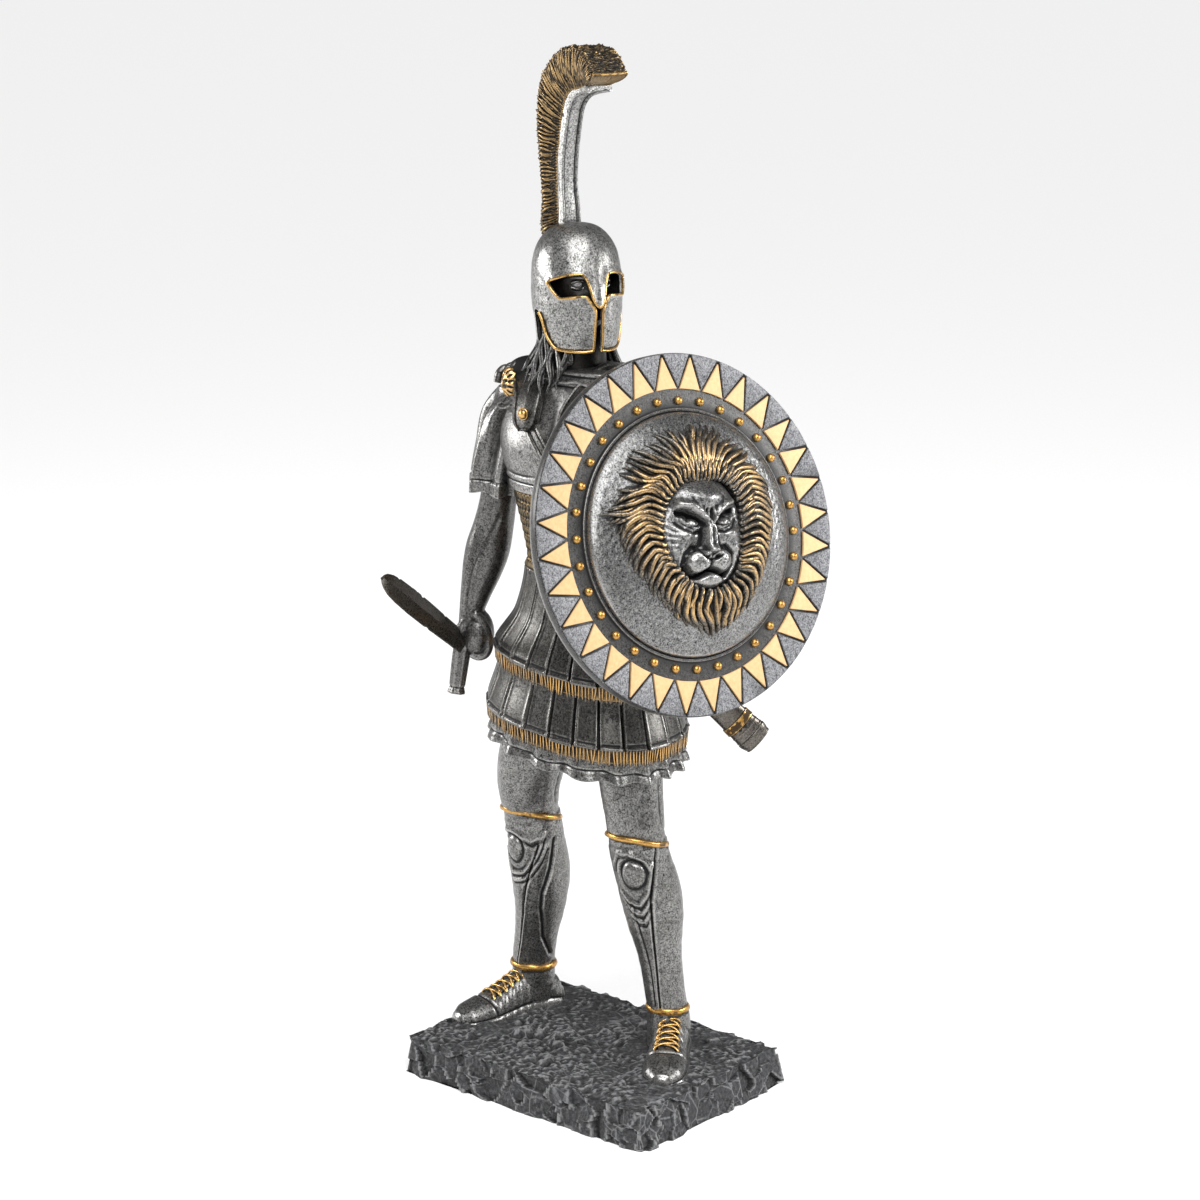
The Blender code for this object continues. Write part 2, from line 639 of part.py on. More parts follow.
def make_shield():
    """Round shield: flat rim with studs, domed middle with a lion's head, dished back."""
    rim = shield_diameter / 2
    dome = shield_dome_diameter / 2
    studs = stud_ring_diameter / 2
    segments = 2 * stud_count
    mesh = bmesh.new()
    steps = 11
    front = [dome * step / steps for step in range(1, steps)] + [dome * 0.985]
    flat = [dome, studs - stud_width / 2, studs, studs + stud_width / 2, (studs + rim) / 2, rim - 0.0012]
    rings = []
    for radius in front + flat:
        ring = []
        for step in range(segments):
            angle = 2 * math.pi * step / segments
            x = radius * math.cos(angle)
            y = radius * math.sin(angle)
            height = shield_rise(radius, x, y)
            if radius == studs and step % 2 == 0:
                height = stud_height
            ring.append(Vector((x, y, height)))
        rings.append(ring)
    back = -shield_rim_thickness
    floor = back + shield_back_recess
    inner = rim - shield_back_rim
    for radius, height in ((rim, -0.0008), (rim, back), (inner, back), (inner - shield_back_recess, floor)):
        rings.append([Vector((radius * math.cos(2 * math.pi * step / segments),
                              radius * math.sin(2 * math.pi * step / segments), height))
                      for step in range(segments)])
    top = mesh.verts.new((0, 0, shield_rise(0.0, 0.0, 0.0)))
    bottom = mesh.verts.new((0, 0, floor))
    loops = [[mesh.verts.new(point) for point in ring] for ring in rings]
    for index in range(segments):
        following = (index + 1) % segments
        mesh.faces.new((top, loops[0][index], loops[0][following]))
        mesh.faces.new((bottom, loops[-1][following], loops[-1][index]))
        for lower, upper in zip(loops, loops[1:]):
            mesh.faces.new((lower[index], upper[index], upper[following], lower[following]))
    bmesh.ops.recalc_face_normals(mesh, faces=mesh.faces)
    made = piece("shield", mesh, material("shield pewter", (0.42, 0.40, 0.37), 0.40, 0.85))
    middle = shield_seat + shield_out * (fit_gap + shield_rim_thickness - shield_back_recess)
    made.matrix_world = shield_frame(middle)
    return made


def make_figure():
    """The whole cast figure, fused, with its blade slot and its flat for the shield."""
    mesh = bmesh.new()
    torso(mesh)
    baldric(mesh)
    legs(mesh)
    shoe(mesh, *right_foot)
    shoe(mesh, *left_foot)
    right_arm(mesh)
    left_arm(mesh)
    shoulder_flap(mesh, -1)
    shoulder_flap(mesh, 1)
    chest_details(mesh)
    helmet(mesh)
    crest(mesh)
    scabbard(mesh)
    made = piece("figure", mesh, material("antique pewter", (0.30, 0.29, 0.27), 0.42, 0.85))
    fuse = made.modifiers.new("fuse", "REMESH")
    fuse.mode = "VOXEL"
    fuse.voxel_size = 0.95 * unit
    fuse.adaptivity = 0.0
    thin = made.modifiers.new("thin", "DECIMATE")
    thin.ratio = 0.041
    # Half space in front of the shield's dished back
    slab = bmesh.new()
    size = shield_diameter * 1.4
    bmesh.ops.create_cube(slab, size=size)
    guide = cutter("shield_seat_guide", slab)
    middle = shield_seat + shield_out * (size / 2)
    guide.matrix_world = shield_frame(middle)
    cut(made, guide)
    slot = bmesh.new()
    blade_body(slot, fit_gap, blade_root + fit_gap, blade_length)
    cut(made, cutter("blade_slot_guide", slot))
    # Soles stay flat at their own level
    slab = bmesh.new()
    bmesh.ops.create_cube(slab, size=1.0)
    ground = cutter("sole_guide", slab)
    ground.matrix_world = Matrix.Translation((0, 0, sole_level - 0.5))
    cut(made, ground)
    return made


def rough(x, y, z, seed):
    """Broken-stone roughness between -1 and 1, from a few crossed waves."""
    a = math.sin(410 * x + 230 * y + 300 * z + seed)
    b = math.sin(-270 * x + 520 * y + 160 * z + 2.3 * seed)
    c = math.sin(890 * x - 760 * y + 540 * z + 0.7 * seed)
    return 0.5 * a * b + 0.3 * c + 0.2 * math.sin(1500 * x + 1300 * y + seed) * a


def make_plinth():
    """Rough slab with a flat underside and two shoe-shaped hollows."""
    across = 17
    along = 12
    mesh = bmesh.new()
    half_x = plinth_width / 2
    half_y = plinth_depth / 2
    levels = 3
    border = []
    for index in range(across):
        border.append((-half_x + plinth_width * index / across, -half_y))
    for index in range(along):
        border.append((half_x, -half_y + plinth_depth * index / along))
    for index in range(across):
        border.append((half_x - plinth_width * index / across, half_y))
    for index in range(along):
        border.append((-half_x, half_y - plinth_depth * index / along))
    loops = []
    for level in range(levels + 1):
        share = level / levels
        z = plinth_height * share
        loop = []
        for x, y in border:
            out = Vector((x / half_x if abs(x) >= half_x - 1e-6 else 0, y / half_y if abs(y) >= half_y - 1e-6 else 0, 0))
            out = out.normalized()
            chip = plinth_edge_chip * rough(x, y, z, 1.0)
            chip -= 0.7 * plinth_edge_chip if level == levels else 0.0
            place = Vector((x, y, z)) + out * (chip + plinth_flare * (1 - share))
            loop.append(mesh.verts.new(place))
        loops.append(loop)
    count = len(border)
    for lower, upper in zip(loops, loops[1:]):
        for index in range(count):
            following = (index + 1) % count
            mesh.faces.new((lower[index], lower[following], upper[following], upper[index]))
    mesh.faces.new(list(reversed(loops[0])))
    # Top as a grid that shares the border's upper loop
    top = loops[-1]
    grid = {}
    for row in range(along + 1):
        for column in range(across + 1):
            if row == 0:
                grid[row, column] = top[column]
            elif column == across:
                grid[row, column] = top[across + row]
            elif row == along:
                grid[row, column] = top[across + along + (across - column)]
            elif column == 0:
                grid[row, column] = top[2 * across + along + (along - row)]
            else:
                x = -half_x + plinth_width * column / across
                y = -half_y + plinth_depth * row / along
                z = plinth_height + plinth_top_chip * rough(x, y, 0, 4.0)
                for spot_x, spot_y, tall in ((-0.12, -0.13, 1.8), (0.05, 0.04, 2.2), (0.17, -0.33, 1.6)):
                    reach = math.hypot(x / plinth_width - spot_x, (y - spot_y * plinth_depth) / plinth_width)
                    z += tall * plinth_top_chip * 2.2 * bump(reach, 0.0, 0.055)
                corner = math.hypot(x / half_x - 0.88, y / half_y - 0.8)
                z += 2.4 * plinth_top_chip * bump(corner, 0, 0.16)
                grid[row, column] = mesh.verts.new((x, y, z))
    for row in range(along):
        for column in range(across):
            mesh.faces.new((grid[row, column], grid[row, column + 1], grid[row + 1, column + 1], grid[row + 1, column]))
    bmesh.ops.recalc_face_normals(mesh, faces=mesh.faces)
    bmesh.ops.triangulate(mesh, faces=[face for face in mesh.faces if len(face.verts) == 4])
    made = piece("plinth", mesh, material("charcoal stone", (0.035, 0.035, 0.036), 0.78, 0.0))
    for name, foot in (("right", right_foot), ("left", left_foot)):
        hollow = bmesh.new()
        foot_hollow(hollow, *foot)
        cut(made, cutter(name + "_foot_guide", hollow))
    return made


def foot_hollow(mesh, heel, toe):
    """Upright prism round a shoe, a clearance wider than its sole."""
    start = at(heel[0], heel[1], 0)
    run = at(toe[0], toe[1], 0) - start
    length = run.length
    ahead = run.normalized()
    side = Vector((ahead.y, -ahead.x, 0))
    outline = []
    rows = curve_through(foot_stations, 2)
    for share, half, height in rows:
        outline.append(start + run * share + side * (half * unit + 2 * fit_gap))
    for share, half, height in reversed(rows):
        outline.append(start + run * share - side * (half * unit + 2 * fit_gap))
    middle = start + run * 0.5
    grown = []
    for point in outline:
        reach = (point - middle).dot(ahead)
        grown.append(point + ahead * (2 * fit_gap * reach / (length / 2)))
    floor = plinth_height - sole_sink
    roof = plinth_height + 8 * unit
    loft(mesh, [[Vector((p.x, p.y, floor)) for p in grown], [Vector((p.x, p.y, roof)) for p in grown]])


for old in list(bpy.data.objects):
    bpy.data.objects.remove(old, do_unlink=True)

make_plinth()
make_figure()
make_shield()
make_sword_blade()
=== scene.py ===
import math
import bpy
import numpy as np
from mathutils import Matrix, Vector
from mathutils.bvhtree import BVHTree


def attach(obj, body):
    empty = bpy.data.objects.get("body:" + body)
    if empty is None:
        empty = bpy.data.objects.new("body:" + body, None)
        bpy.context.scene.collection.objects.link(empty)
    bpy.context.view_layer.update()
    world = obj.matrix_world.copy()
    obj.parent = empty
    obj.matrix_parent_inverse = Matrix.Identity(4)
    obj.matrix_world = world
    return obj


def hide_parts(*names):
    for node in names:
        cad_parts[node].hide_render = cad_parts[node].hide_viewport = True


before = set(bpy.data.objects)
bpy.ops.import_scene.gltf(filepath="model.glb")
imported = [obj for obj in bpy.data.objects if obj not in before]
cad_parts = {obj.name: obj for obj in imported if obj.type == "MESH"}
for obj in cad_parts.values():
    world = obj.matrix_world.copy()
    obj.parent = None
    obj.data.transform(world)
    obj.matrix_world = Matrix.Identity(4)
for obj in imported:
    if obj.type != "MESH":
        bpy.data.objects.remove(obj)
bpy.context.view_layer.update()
print("frame loaded")

# tables below are in millimetres; z in them counts from the soles
millimetre = 0.001
soleLevel = 11.6
fullTurn = 2 * math.pi
upward = np.array([0.0, 0.0, 1.0])
madePieces = []
dice = np.random.default_rng(41)


def smooth(low, high, value):
    share = np.clip((value - low) / (high - low), 0.0, 1.0)
    return share * share * (3.0 - 2.0 * share)


def bump(value, centre, width):
    return np.exp(-((value - centre) / width) ** 2)


def unit(vectors):
    length = np.linalg.norm(vectors, axis=-1, keepdims=True)
    return vectors / np.maximum(length, 1e-9)


def heading(azimuth):
    angle = math.radians(azimuth)
    return np.array([math.sin(angle), -math.cos(angle), 0.0])


def rises(azimuth, degrees):
    angle = math.radians(degrees)
    return heading(azimuth) * math.cos(angle) + np.array([0, 0, math.sin(angle)])


def follow(table, share):
    # smooth values through a table, for an array of shares from 0 to 1
    table = np.asarray(table, float)
    last = len(table) - 1
    spot = np.clip(np.atleast_1d(share), 0, 1) * last
    index = np.minimum(spot.astype(int), last - 1)
    t = (spot - index)[:, None]
    before, start = table[np.maximum(index - 1, 0)], table[index]
    end, after = table[index + 1], table[np.minimum(index + 2, last)]
    bend = (2 * before - 5 * start + 4 * end - after) * t * t
    bend = bend + (3 * start - before - 3 * end + after) * t ** 3
    return 0.5 * (2 * start + (end - before) * t + bend)


def drift(points, size, seed, layers=5):
    # soft uneven waves, about one high, over points in millimetres
    waves = np.random.default_rng(seed)
    total = np.zeros(len(points))
    for layer in range(layers):
        course = unit(waves.normal(size=3)) * (6.28 / size) * (0.7 + 0.6 * waves.random())
        turn = unit(waves.normal(size=3)) * (6.28 / size) * 0.6
        sway = 1.3 * np.sin(points @ turn + waves.random() * 6.28)
        total += np.sin(points @ course + sway + waves.random() * 6.28)
    return total / math.sqrt(layers)


def nearTo(x, y, line, width):
    # one on a line of points, falling off within the width
    best = np.full(np.shape(x), 1e9)
    for (x0, y0), (x1, y1) in zip(line, line[1:]):
        length = (x1 - x0) ** 2 + (y1 - y0) ** 2
        share = np.clip(((x - x0) * (x1 - x0) + (y - y0) * (y1 - y0)) / length, 0, 1)
        gap = (x - x0 - share * (x1 - x0)) ** 2 + (y - y0 - share * (y1 - y0)) ** 2
        best = np.minimum(best, gap)
    return np.exp(-best / width ** 2)


def clearSelection():
    if bpy.context.object and bpy.context.object.mode != "OBJECT":
        bpy.ops.object.mode_set(mode="OBJECT")
    bpy.ops.object.select_all(action="DESELECT")


def select(*pieces):
    clearSelection()
    for piece in pieces:
        piece.select_set(True)
    bpy.context.view_layer.objects.active = pieces[0]


def closeUp(piece, gap=0.01):
    # merge what meets, and turn the faces outwards
    select(piece)
    bpy.ops.object.mode_set(mode="EDIT")
    bpy.ops.mesh.select_all(action="SELECT")
    bpy.ops.mesh.remove_doubles(threshold=gap * millimetre)
    bpy.ops.mesh.normals_make_consistent(inside=False)
    bpy.ops.object.mode_set(mode="OBJECT")
    return piece


def spotsOf(mesh, kind="co"):
    # a mesh's points in metres, or its normals
    values = np.empty(len(mesh.vertices) * 3)
    mesh.vertices.foreach_get(kind, values)
    return values.reshape(-1, 3)


def moveTo(mesh, points):
    # points in millimetres
    mesh.vertices.foreach_set("co", (points * millimetre).ravel())
    mesh.update()


def surface(name, columns, rows, place):
    # a plain grid laid on the piece's own form
    clearSelection()
    bpy.ops.mesh.primitive_grid_add(x_subdivisions=columns, y_subdivisions=rows, size=1)
    piece = bpy.context.object
    piece.name = name
    spots = spotsOf(piece.data)
    moveTo(piece.data, place(spots[:, 0] + 0.5, spots[:, 1] + 0.5))
    return closeUp(piece)


def inset(along, rows):
    # share of the way between a surface's closed ends, and which points close them
    share = np.clip((along * rows - 1) / (rows - 2), 0, 1)
    return share, (along < 0.5 / rows) | (along > 1 - 0.5 / rows)


def onSection(section, share):
    # places on straight lines between a section's points
    spot, marks = share * (len(section) - 1), np.arange(len(section))
    return np.interp(spot, marks, section[:, 0]), np.interp(spot, marks, section[:, 1])


def limb(name, table, columns, rows, reference=(0, 1, 0), relief=None):
    # oval tube through stations x, y, z, half width, half depth; its two ends are closed
    def place(across, along):
        inner, ends = inset(along, rows)
        row = follow(table, inner)
        tangent = unit(follow(table, inner + 0.01)[:, :3] - follow(table, inner - 0.01)[:, :3])
        side = unit(np.cross(reference, tangent))
        front = np.cross(tangent, side)
        angle = fullTurn * across
        out = side * np.cos(angle)[:, None] + front * np.sin(angle)[:, None]
        lift = 0.0
        if relief:
            azimuth = np.degrees(np.arctan2(out[:, 0], -out[:, 1]))
            lift = relief(azimuth, row[:, 2], inner)
        width = (row[:, 3] + lift) * ~ends
        depth = (row[:, 4] + lift) * ~ends
        spot = row[:, :3] + side * (np.cos(angle) * width)[:, None]
        return spot + front * (np.sin(angle) * depth)[:, None] + upward * soleLevel
    return surface(name, columns, rows, place)


def strands(name, paths, widths, depths, out, sides=6, looped=False):
    # many thin forms in one piece: each path gets an oval section that lies flat against out
    paths = np.asarray(paths, float)
    count, steps = paths.shape[:2]
    widths = np.broadcast_to(widths, (count, steps))
    depths = np.broadcast_to(depths, (count, steps))
    if looped:
        tangent = np.roll(paths, -1, 1) - np.roll(paths, 1, 1)
    else:
        tangent = np.gradient(paths, axis=1)
    tangent = unit(tangent)
    side = unit(np.cross(np.broadcast_to(out, paths.shape), tangent))
    top = np.cross(tangent, side)
    angle = np.arange(sides) * fullTurn / sides
    ring = paths[:, :, None, :] + side[:, :, None, :] * np.cos(angle)[:, None] * widths[:, :, None, None]
    ring = ring + top[:, :, None, :] * np.sin(angle)[:, None] * depths[:, :, None, None]
    points = ring.reshape(-1, 3)
    base = (np.arange(count) * steps * sides)[:, None, None]
    last = steps if looped else steps - 1
    step = np.arange(last)[None, :, None]
    corner = np.arange(sides)[None, None, :]
    here, beyond = base + step * sides, base + ((step + 1) % steps) * sides
    beside = (corner + 1) % sides
    faces = np.stack([here + corner, here + beside, beyond + beside, beyond + corner], -1)
    faces = faces.reshape(-1, 4).tolist()
    if not looped:
        first = base[:, 0, 0][:, None]
        faces += (first + np.arange(sides)[::-1]).tolist()
        faces += (first + (steps - 1) * sides + np.arange(sides)).tolist()
    mesh = bpy.data.meshes.new(name)
    mesh.from_pydata((points * millimetre).tolist(), [], faces)
    mesh.update()
    crown = mesh.attributes.new("crown", "FLOAT", "POINT")
    along = np.sin(np.pi * np.linspace(0.14, 0.93, steps)) ** 0.5
    high = np.tile(np.outer(along, np.sin(angle)), (count, 1, 1))
    crown.data.foreach_set("value", high.ravel().astype(np.float32))
    piece = bpy.data.objects.new(name, mesh)
    bpy.context.collection.objects.link(piece)
    select(piece)
    bpy.ops.object.mode_set(mode="EDIT")
    bpy.ops.mesh.select_all(action="SELECT")
    bpy.ops.mesh.normals_make_consistent(inside=False)
    bpy.ops.object.mode_set(mode="OBJECT")
    return piece


def bead(name, path, radius, out=(0, 0, 1), looped=True, sides=10, flat=1.0):
    # round wire along one path
    return strands(name, [path], radius, radius * flat, out, sides, looped=looped)


def merged(name, pieces):
    select(*pieces)
    if len(pieces) > 1:
        bpy.ops.object.join()
    piece = bpy.context.object
    piece.name = name
    return piece


def fused(name, pieces, cell):
    # overlapping forms grown into one skin, as in a casting
    piece = merged(name, pieces)
    skin = piece.modifiers.new("skin", "REMESH")
    skin.mode = "VOXEL"
    skin.voxel_size = cell * millimetre
    bpy.ops.object.modifier_apply(modifier=skin.name)
    ease = piece.modifiers.new("ease", "SMOOTH")
    ease.factor = 0.5
    ease.iterations = 3
    bpy.ops.object.modifier_apply(modifier=ease.name)
    return piece


def ball(name, centre, halves, azimuth=0.0):
    # an oval ball, turned about the upright
    clearSelection()
    bpy.ops.mesh.primitive_uv_sphere_add(segments=24, ring_count=12, radius=1)
    piece = bpy.context.object
    piece.name = name
    a = math.radians(azimuth)
    turn = np.array([[math.cos(a), -math.sin(a), 0], [math.sin(a), math.cos(a), 0], [0, 0, 1]])
    moveTo(piece.data, (spotsOf(piece.data) * halves) @ turn.T + centre + upward * soleLevel)
    return piece


def reliefOf(mesh, reach):
    # how far each point stands out of its surroundings, along its own normal, in millimetres
    count = len(mesh.vertices)
    spots = spotsOf(mesh) / millimetre
    ends = np.empty(len(mesh.edges) * 2, int)
    mesh.edges.foreach_get("vertices", ends)
    ends = ends.reshape(-1, 2)
    start, end = ends.T.ravel(), ends[:, ::-1].T.ravel()
    edge = np.median(np.linalg.norm(spots[ends[:, 0]] - spots[ends[:, 1]], axis=1))
    rounds = int(np.clip(2.0 * (reach / edge) ** 2, 2, 26))
    degree = np.maximum(np.bincount(start, minlength=count), 1)
    eased = spots.copy()
    for _ in range(rounds):
        mean = np.stack([np.bincount(start, eased[end, k], count) / degree for k in range(3)], 1)
        eased = 0.5 * (eased + mean)
    return ((spots - eased) * spotsOf(mesh, "normal")).sum(1)


def done(piece, finish, node="figure", crease=55, reach=0.6, full=0.1):
    # smooth shading, wear for the paint, finish and frame
    select(piece)
    bpy.ops.object.shade_smooth_by_angle(angle=math.radians(crease))
    piece.data.materials.clear()
    piece.data.materials.append(finish)
    wear = piece.data.attributes.new("wear", "FLOAT", "POINT")
    rise = np.clip(reliefOf(piece.data, reach) / full, -1, 1)
    wear.data.foreach_set("value", rise.astype(np.float32))
    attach(piece, "root")
    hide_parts(node)
    madePieces.append(piece)
    return piece


class Wire:
    # one value in a material; sums written on it become Math nodes
    def __init__(self, paint, socket):
        self.paint = paint
        self.socket = socket

    def work(self, kind, first, second=0.0, clamp=False):
        return self.paint.add("ShaderNodeMath", {"operation": kind, "use_clamp": clamp},
                              {0: first, 1: second})

    def __add__(self, other):
        return self.work("ADD", self, other)

    def __radd__(self, other):
        return self.work("ADD", other, self)

    def __sub__(self, other):
        return self.work("SUBTRACT", self, other)

    def __rsub__(self, other):
        return self.work("SUBTRACT", other, self)

    def __mul__(self, other):
        return self.work("MULTIPLY", self, other)

    def __rmul__(self, other):
        return self.work("MULTIPLY", other, self)

    def __truediv__(self, other):
        return self.work("DIVIDE", self, other)

    def larger(self, other):
        return self.work("MAXIMUM", self, other)

    def held(self):
        return self.work("ADD", self, 0.0, clamp=True)

    def between(self, low, high):
        # zero at low, one at high, held in between
        return self.work("MULTIPLY", self - low, 1.0 / (high - low), clamp=True)


class Paint:
    def __init__(self, name):
        self.material = bpy.data.materials.new(name)
        self.material.use_nodes = True
        self.nodes = self.material.node_tree.nodes
        self.links = self.material.node_tree.links
        self.shader = self.nodes["Principled BSDF"]
        self.place = Wire(self, self.nodes.new("ShaderNodeTexCoord").outputs["Object"])

    def add(self, kind, settings, values, output=0):
        node = self.nodes.new(kind)
        for key, value in settings.items():
            if key == "stops":
                ramp = node.color_ramp
                while len(ramp.elements) < len(value):
                    ramp.elements.new(0.5)
                for element, (spot, colour) in zip(ramp.elements, value):
                    element.position = spot
                    element.color = (*colour, 1)
            else:
                setattr(node, key, value)
        for key, value in values.items():
            self.feed(node.inputs[key], value)
        return Wire(self, node.outputs[output])

    def feed(self, socket, value):
        if isinstance(value, Wire):
            self.links.new(value.socket, socket)
        elif isinstance(value, tuple) and socket.type == "RGBA":
            socket.default_value = (*value, 1)
        else:
            socket.default_value = value

    def noise(self, scale, detail=2.0, rough=0.5, place=None):
        values = {"Vector": place or self.place, "Scale": scale, "Detail": detail, "Roughness": rough}
        return self.add("ShaderNodeTexNoise", {}, values)

    def cells(self, scale, output="Distance", feature="F1", place=None):
        values = {"Vector": place or self.place, "Scale": scale}
        return self.add("ShaderNodeTexVoronoi", {"feature": feature}, values, output)

    def mark(self, name):
        return self.add("ShaderNodeAttribute", {"attribute_name": name}, {}, "Fac")

    def mix(self, share, first, second):
        values = {"Factor": share, 6: first, 7: second}
        return self.add("ShaderNodeMix", {"data_type": "RGBA"}, values, 2)

    def dents(self, height, depth, strength=1.0):
        values = {"Height": height, "Distance": depth * millimetre, "Strength": strength}
        return self.add("ShaderNodeBump", {}, values)

    def finish(self, **values):
        for key, value in values.items():
            self.feed(self.shader.inputs[key.replace("_", " ")], value)
        return self.material


def washedMetal(name, look, **changes):
    # metal paint: washed dark in the hollows and given painted shade where other forms hem a spot in, rubbed
    # bright on the edges, grainy all over
    look = dict(look, **changes)
    paint = Paint(name)
    wear = paint.mark("wear")
    shelter = paint.mark("shelter")
    grain = paint.noise(look["grain"], 2.0, 0.6)
    speck = paint.noise(look["grain"] * 0.42, 2.0, 0.6)
    patches = paint.noise(95.0, 3.0, 0.6)
    washAndShadeMask = (0.0 - wear + (patches - 0.5) * 0.35).between(look["washStart"], look["washFull"])
    # painted shade: spots hemmed in by other forms are darkened towards the black as if in shadow
    washAndShadeMask = washAndShadeMask.larger((shelter + (patches - 0.5) * 0.5).between(0.42, 1.05))
    raised = paint.mark("crown") + (patches - 0.5) * 0.9 if look.get("crown") else wear
    edge = (raised + (grain - 0.5) * 0.5).between(look["rubStart"], look["rubFull"])
    tone = paint.mix((grain * 0.7 + speck * 0.3).between(0.36, 0.63), look["dark"], look["light"])
    tone = paint.mix((patches.between(0.35, 0.75)) * look["patchy"], tone, look["tarnish"])
    tone = paint.mix(edge * look["rub"], tone, look["bright"])
    tone = paint.mix(washAndShadeMask * look["wash"], tone, look["black"])
    rough = look["roughness"] + washAndShadeMask * 0.28 + (grain - 0.5) * 0.3 - edge * 0.06
    return paint.finish(Base_Color=tone, Roughness=rough.held(), Metallic=(1.0 - washAndShadeMask * 0.55)
                        * look["metallic"], Normal=paint.dents(grain, look["grainDepth"]))


pewterLook = {"grain": 2150.0, "grainDepth": 0.05, "dark": (0.02, 0.02, 0.02), "light": (0.345, 0.34, 0.33),
              "tarnish": (0.075, 0.07, 0.063), "patchy": 0.35, "bright": (0.62, 0.61, 0.59), "rub": 0.45,
              "black": (0.004, 0.004, 0.0045), "wash": 1.0, "washStart": 0.05, "washFull": 0.6,
              "rubStart": 0.35, "rubFull": 1.2, "roughness": 0.34, "metallic": 0.92}
pewter = washedMetal("antiquePewter", pewterLook)
helmetPewter = washedMetal("helmetPewter", pewterLook, dark=(0.04, 0.04, 0.04), light=(0.52, 0.515, 0.5),
                           roughness=0.36, patchy=0.25)
# lighter than the body's pewter: partly the breastplate's own tone, partly a painted highlight
chestPewterAndHighlight = washedMetal("breastplatePewterAndHighlight", pewterLook, dark=(0.04, 0.04, 0.04), light=(0.44, 0.43, 0.42),
                         roughness=0.42)
strapPaint = washedMetal("darkStraps", pewterLook, dark=(0.01, 0.01, 0.01), light=(0.17, 0.165, 0.155),
                         rub=0.35, bright=(0.4, 0.39, 0.37))
# painted shade: a darker copy of the pewter for the arms, hands and sword grip
armPaintedShade = washedMetal("fleshInPaintedShade", pewterLook, dark=(0.015, 0.015, 0.015), light=(0.22, 0.215, 0.21),
                         tarnish=(0.06, 0.052, 0.045))
shieldPewter = washedMetal("shieldPewter", pewterLook, dark=(0.03, 0.03, 0.031), light=(0.36, 0.36, 0.355),
                           patchy=0.2)
boardPaint = washedMetal("darkBoard", pewterLook, metallic=0.5, dark=(0.005, 0.005, 0.005),
                         light=(0.075, 0.074, 0.072), patchy=0.3, washStart=0.2, bright=(0.5, 0.49, 0.47),
                         rub=0.8, rubStart=0.42, rubFull=0.95)
silverPaint = washedMetal("silverTriangles", pewterLook, dark=(0.03, 0.031, 0.036),
                          light=(0.285, 0.287, 0.298), patchy=0.1, roughness=0.5, metallic=0.55, wash=0.5,
                          washStart=0.5, washFull=1.2)
creamPaint = washedMetal("creamGoldTriangles", pewterLook, grain=900.0, dark=(0.62, 0.385, 0.175),
                         light=(0.72, 0.465, 0.235), tarnish=(0.62, 0.42, 0.18), bright=(0.85, 0.66, 0.36),
                         black=(0.05, 0.03, 0.01), roughness=0.55, metallic=0.08, patchy=0.15, wash=0.5,
                         washStart=0.5, washFull=1.4)
goldPaint = washedMetal("antiqueGold", pewterLook, dark=(0.34, 0.17, 0.035), light=(0.66, 0.37, 0.1),
                        tarnish=(0.22, 0.1, 0.025), bright=(0.95, 0.66, 0.28), black=(0.02, 0.01, 0.004),
                        roughness=0.33, metallic=0.92, wash=0.9, washStart=0.25, washFull=1.0, patchy=0.4)
maneLook = dict(pewterLook, dark=(0.012, 0.0115, 0.011), light=(0.24, 0.225, 0.2),
                tarnish=(0.05, 0.035, 0.02), bright=(0.8, 0.5, 0.2), rub=0.9, crown=True, rubStart=0.72,
                rubFull=1.2, washStart=0.0, washFull=0.4, patchy=0.3, roughness=0.36)
manePaint = washedMetal("lionMane", maneLook)
hairPaint = washedMetal("crestHair", maneLook, crown=False, dark=(0.01, 0.009, 0.008),
                        light=(0.1, 0.085, 0.065), bright=(0.5, 0.33, 0.15), rubStart=0.2, rubFull=1.2)
maskPaint = washedMetal("flapMask", maneLook, crown=False, rubStart=0.0, rubFull=0.6)
lockPaint = washedMetal("darkLocks", pewterLook, dark=(0.01, 0.01, 0.01), light=(0.15, 0.148, 0.145),
                        crown=True, rub=0.8, bright=(0.5, 0.49, 0.47), rubStart=0.85, rubFull=1.3)
fringePaint = washedMetal("goldFringe", maneLook, crown=True, rubStart=0.4, rubFull=0.95,
                          bright=(0.7, 0.41, 0.14))
scalePaint = washedMetal("bronzeScales", pewterLook, washStart=-0.05, washFull=0.4, dark=(0.13, 0.09, 0.045),
                         light=(0.42, 0.3, 0.155), bright=(0.7, 0.5, 0.24))
bladePaint = washedMetal("darkBlade", pewterLook, dark=(0.045, 0.041, 0.037), light=(0.2, 0.185, 0.165),
                         tarnish=(0.12, 0.1, 0.08), bright=(0.42, 0.38, 0.33), roughness=0.3, rubStart=0.3,
                         patchy=0.5)
# painted shade: the face, neck and eyelids are painted near black for the shadow inside the helmet
paintedShadeFacePaint = washedMetal("faceInPaintedShade", pewterLook, dark=(0.004, 0.004, 0.004), light=(0.02, 0.02, 0.019),
                        roughness=0.34)


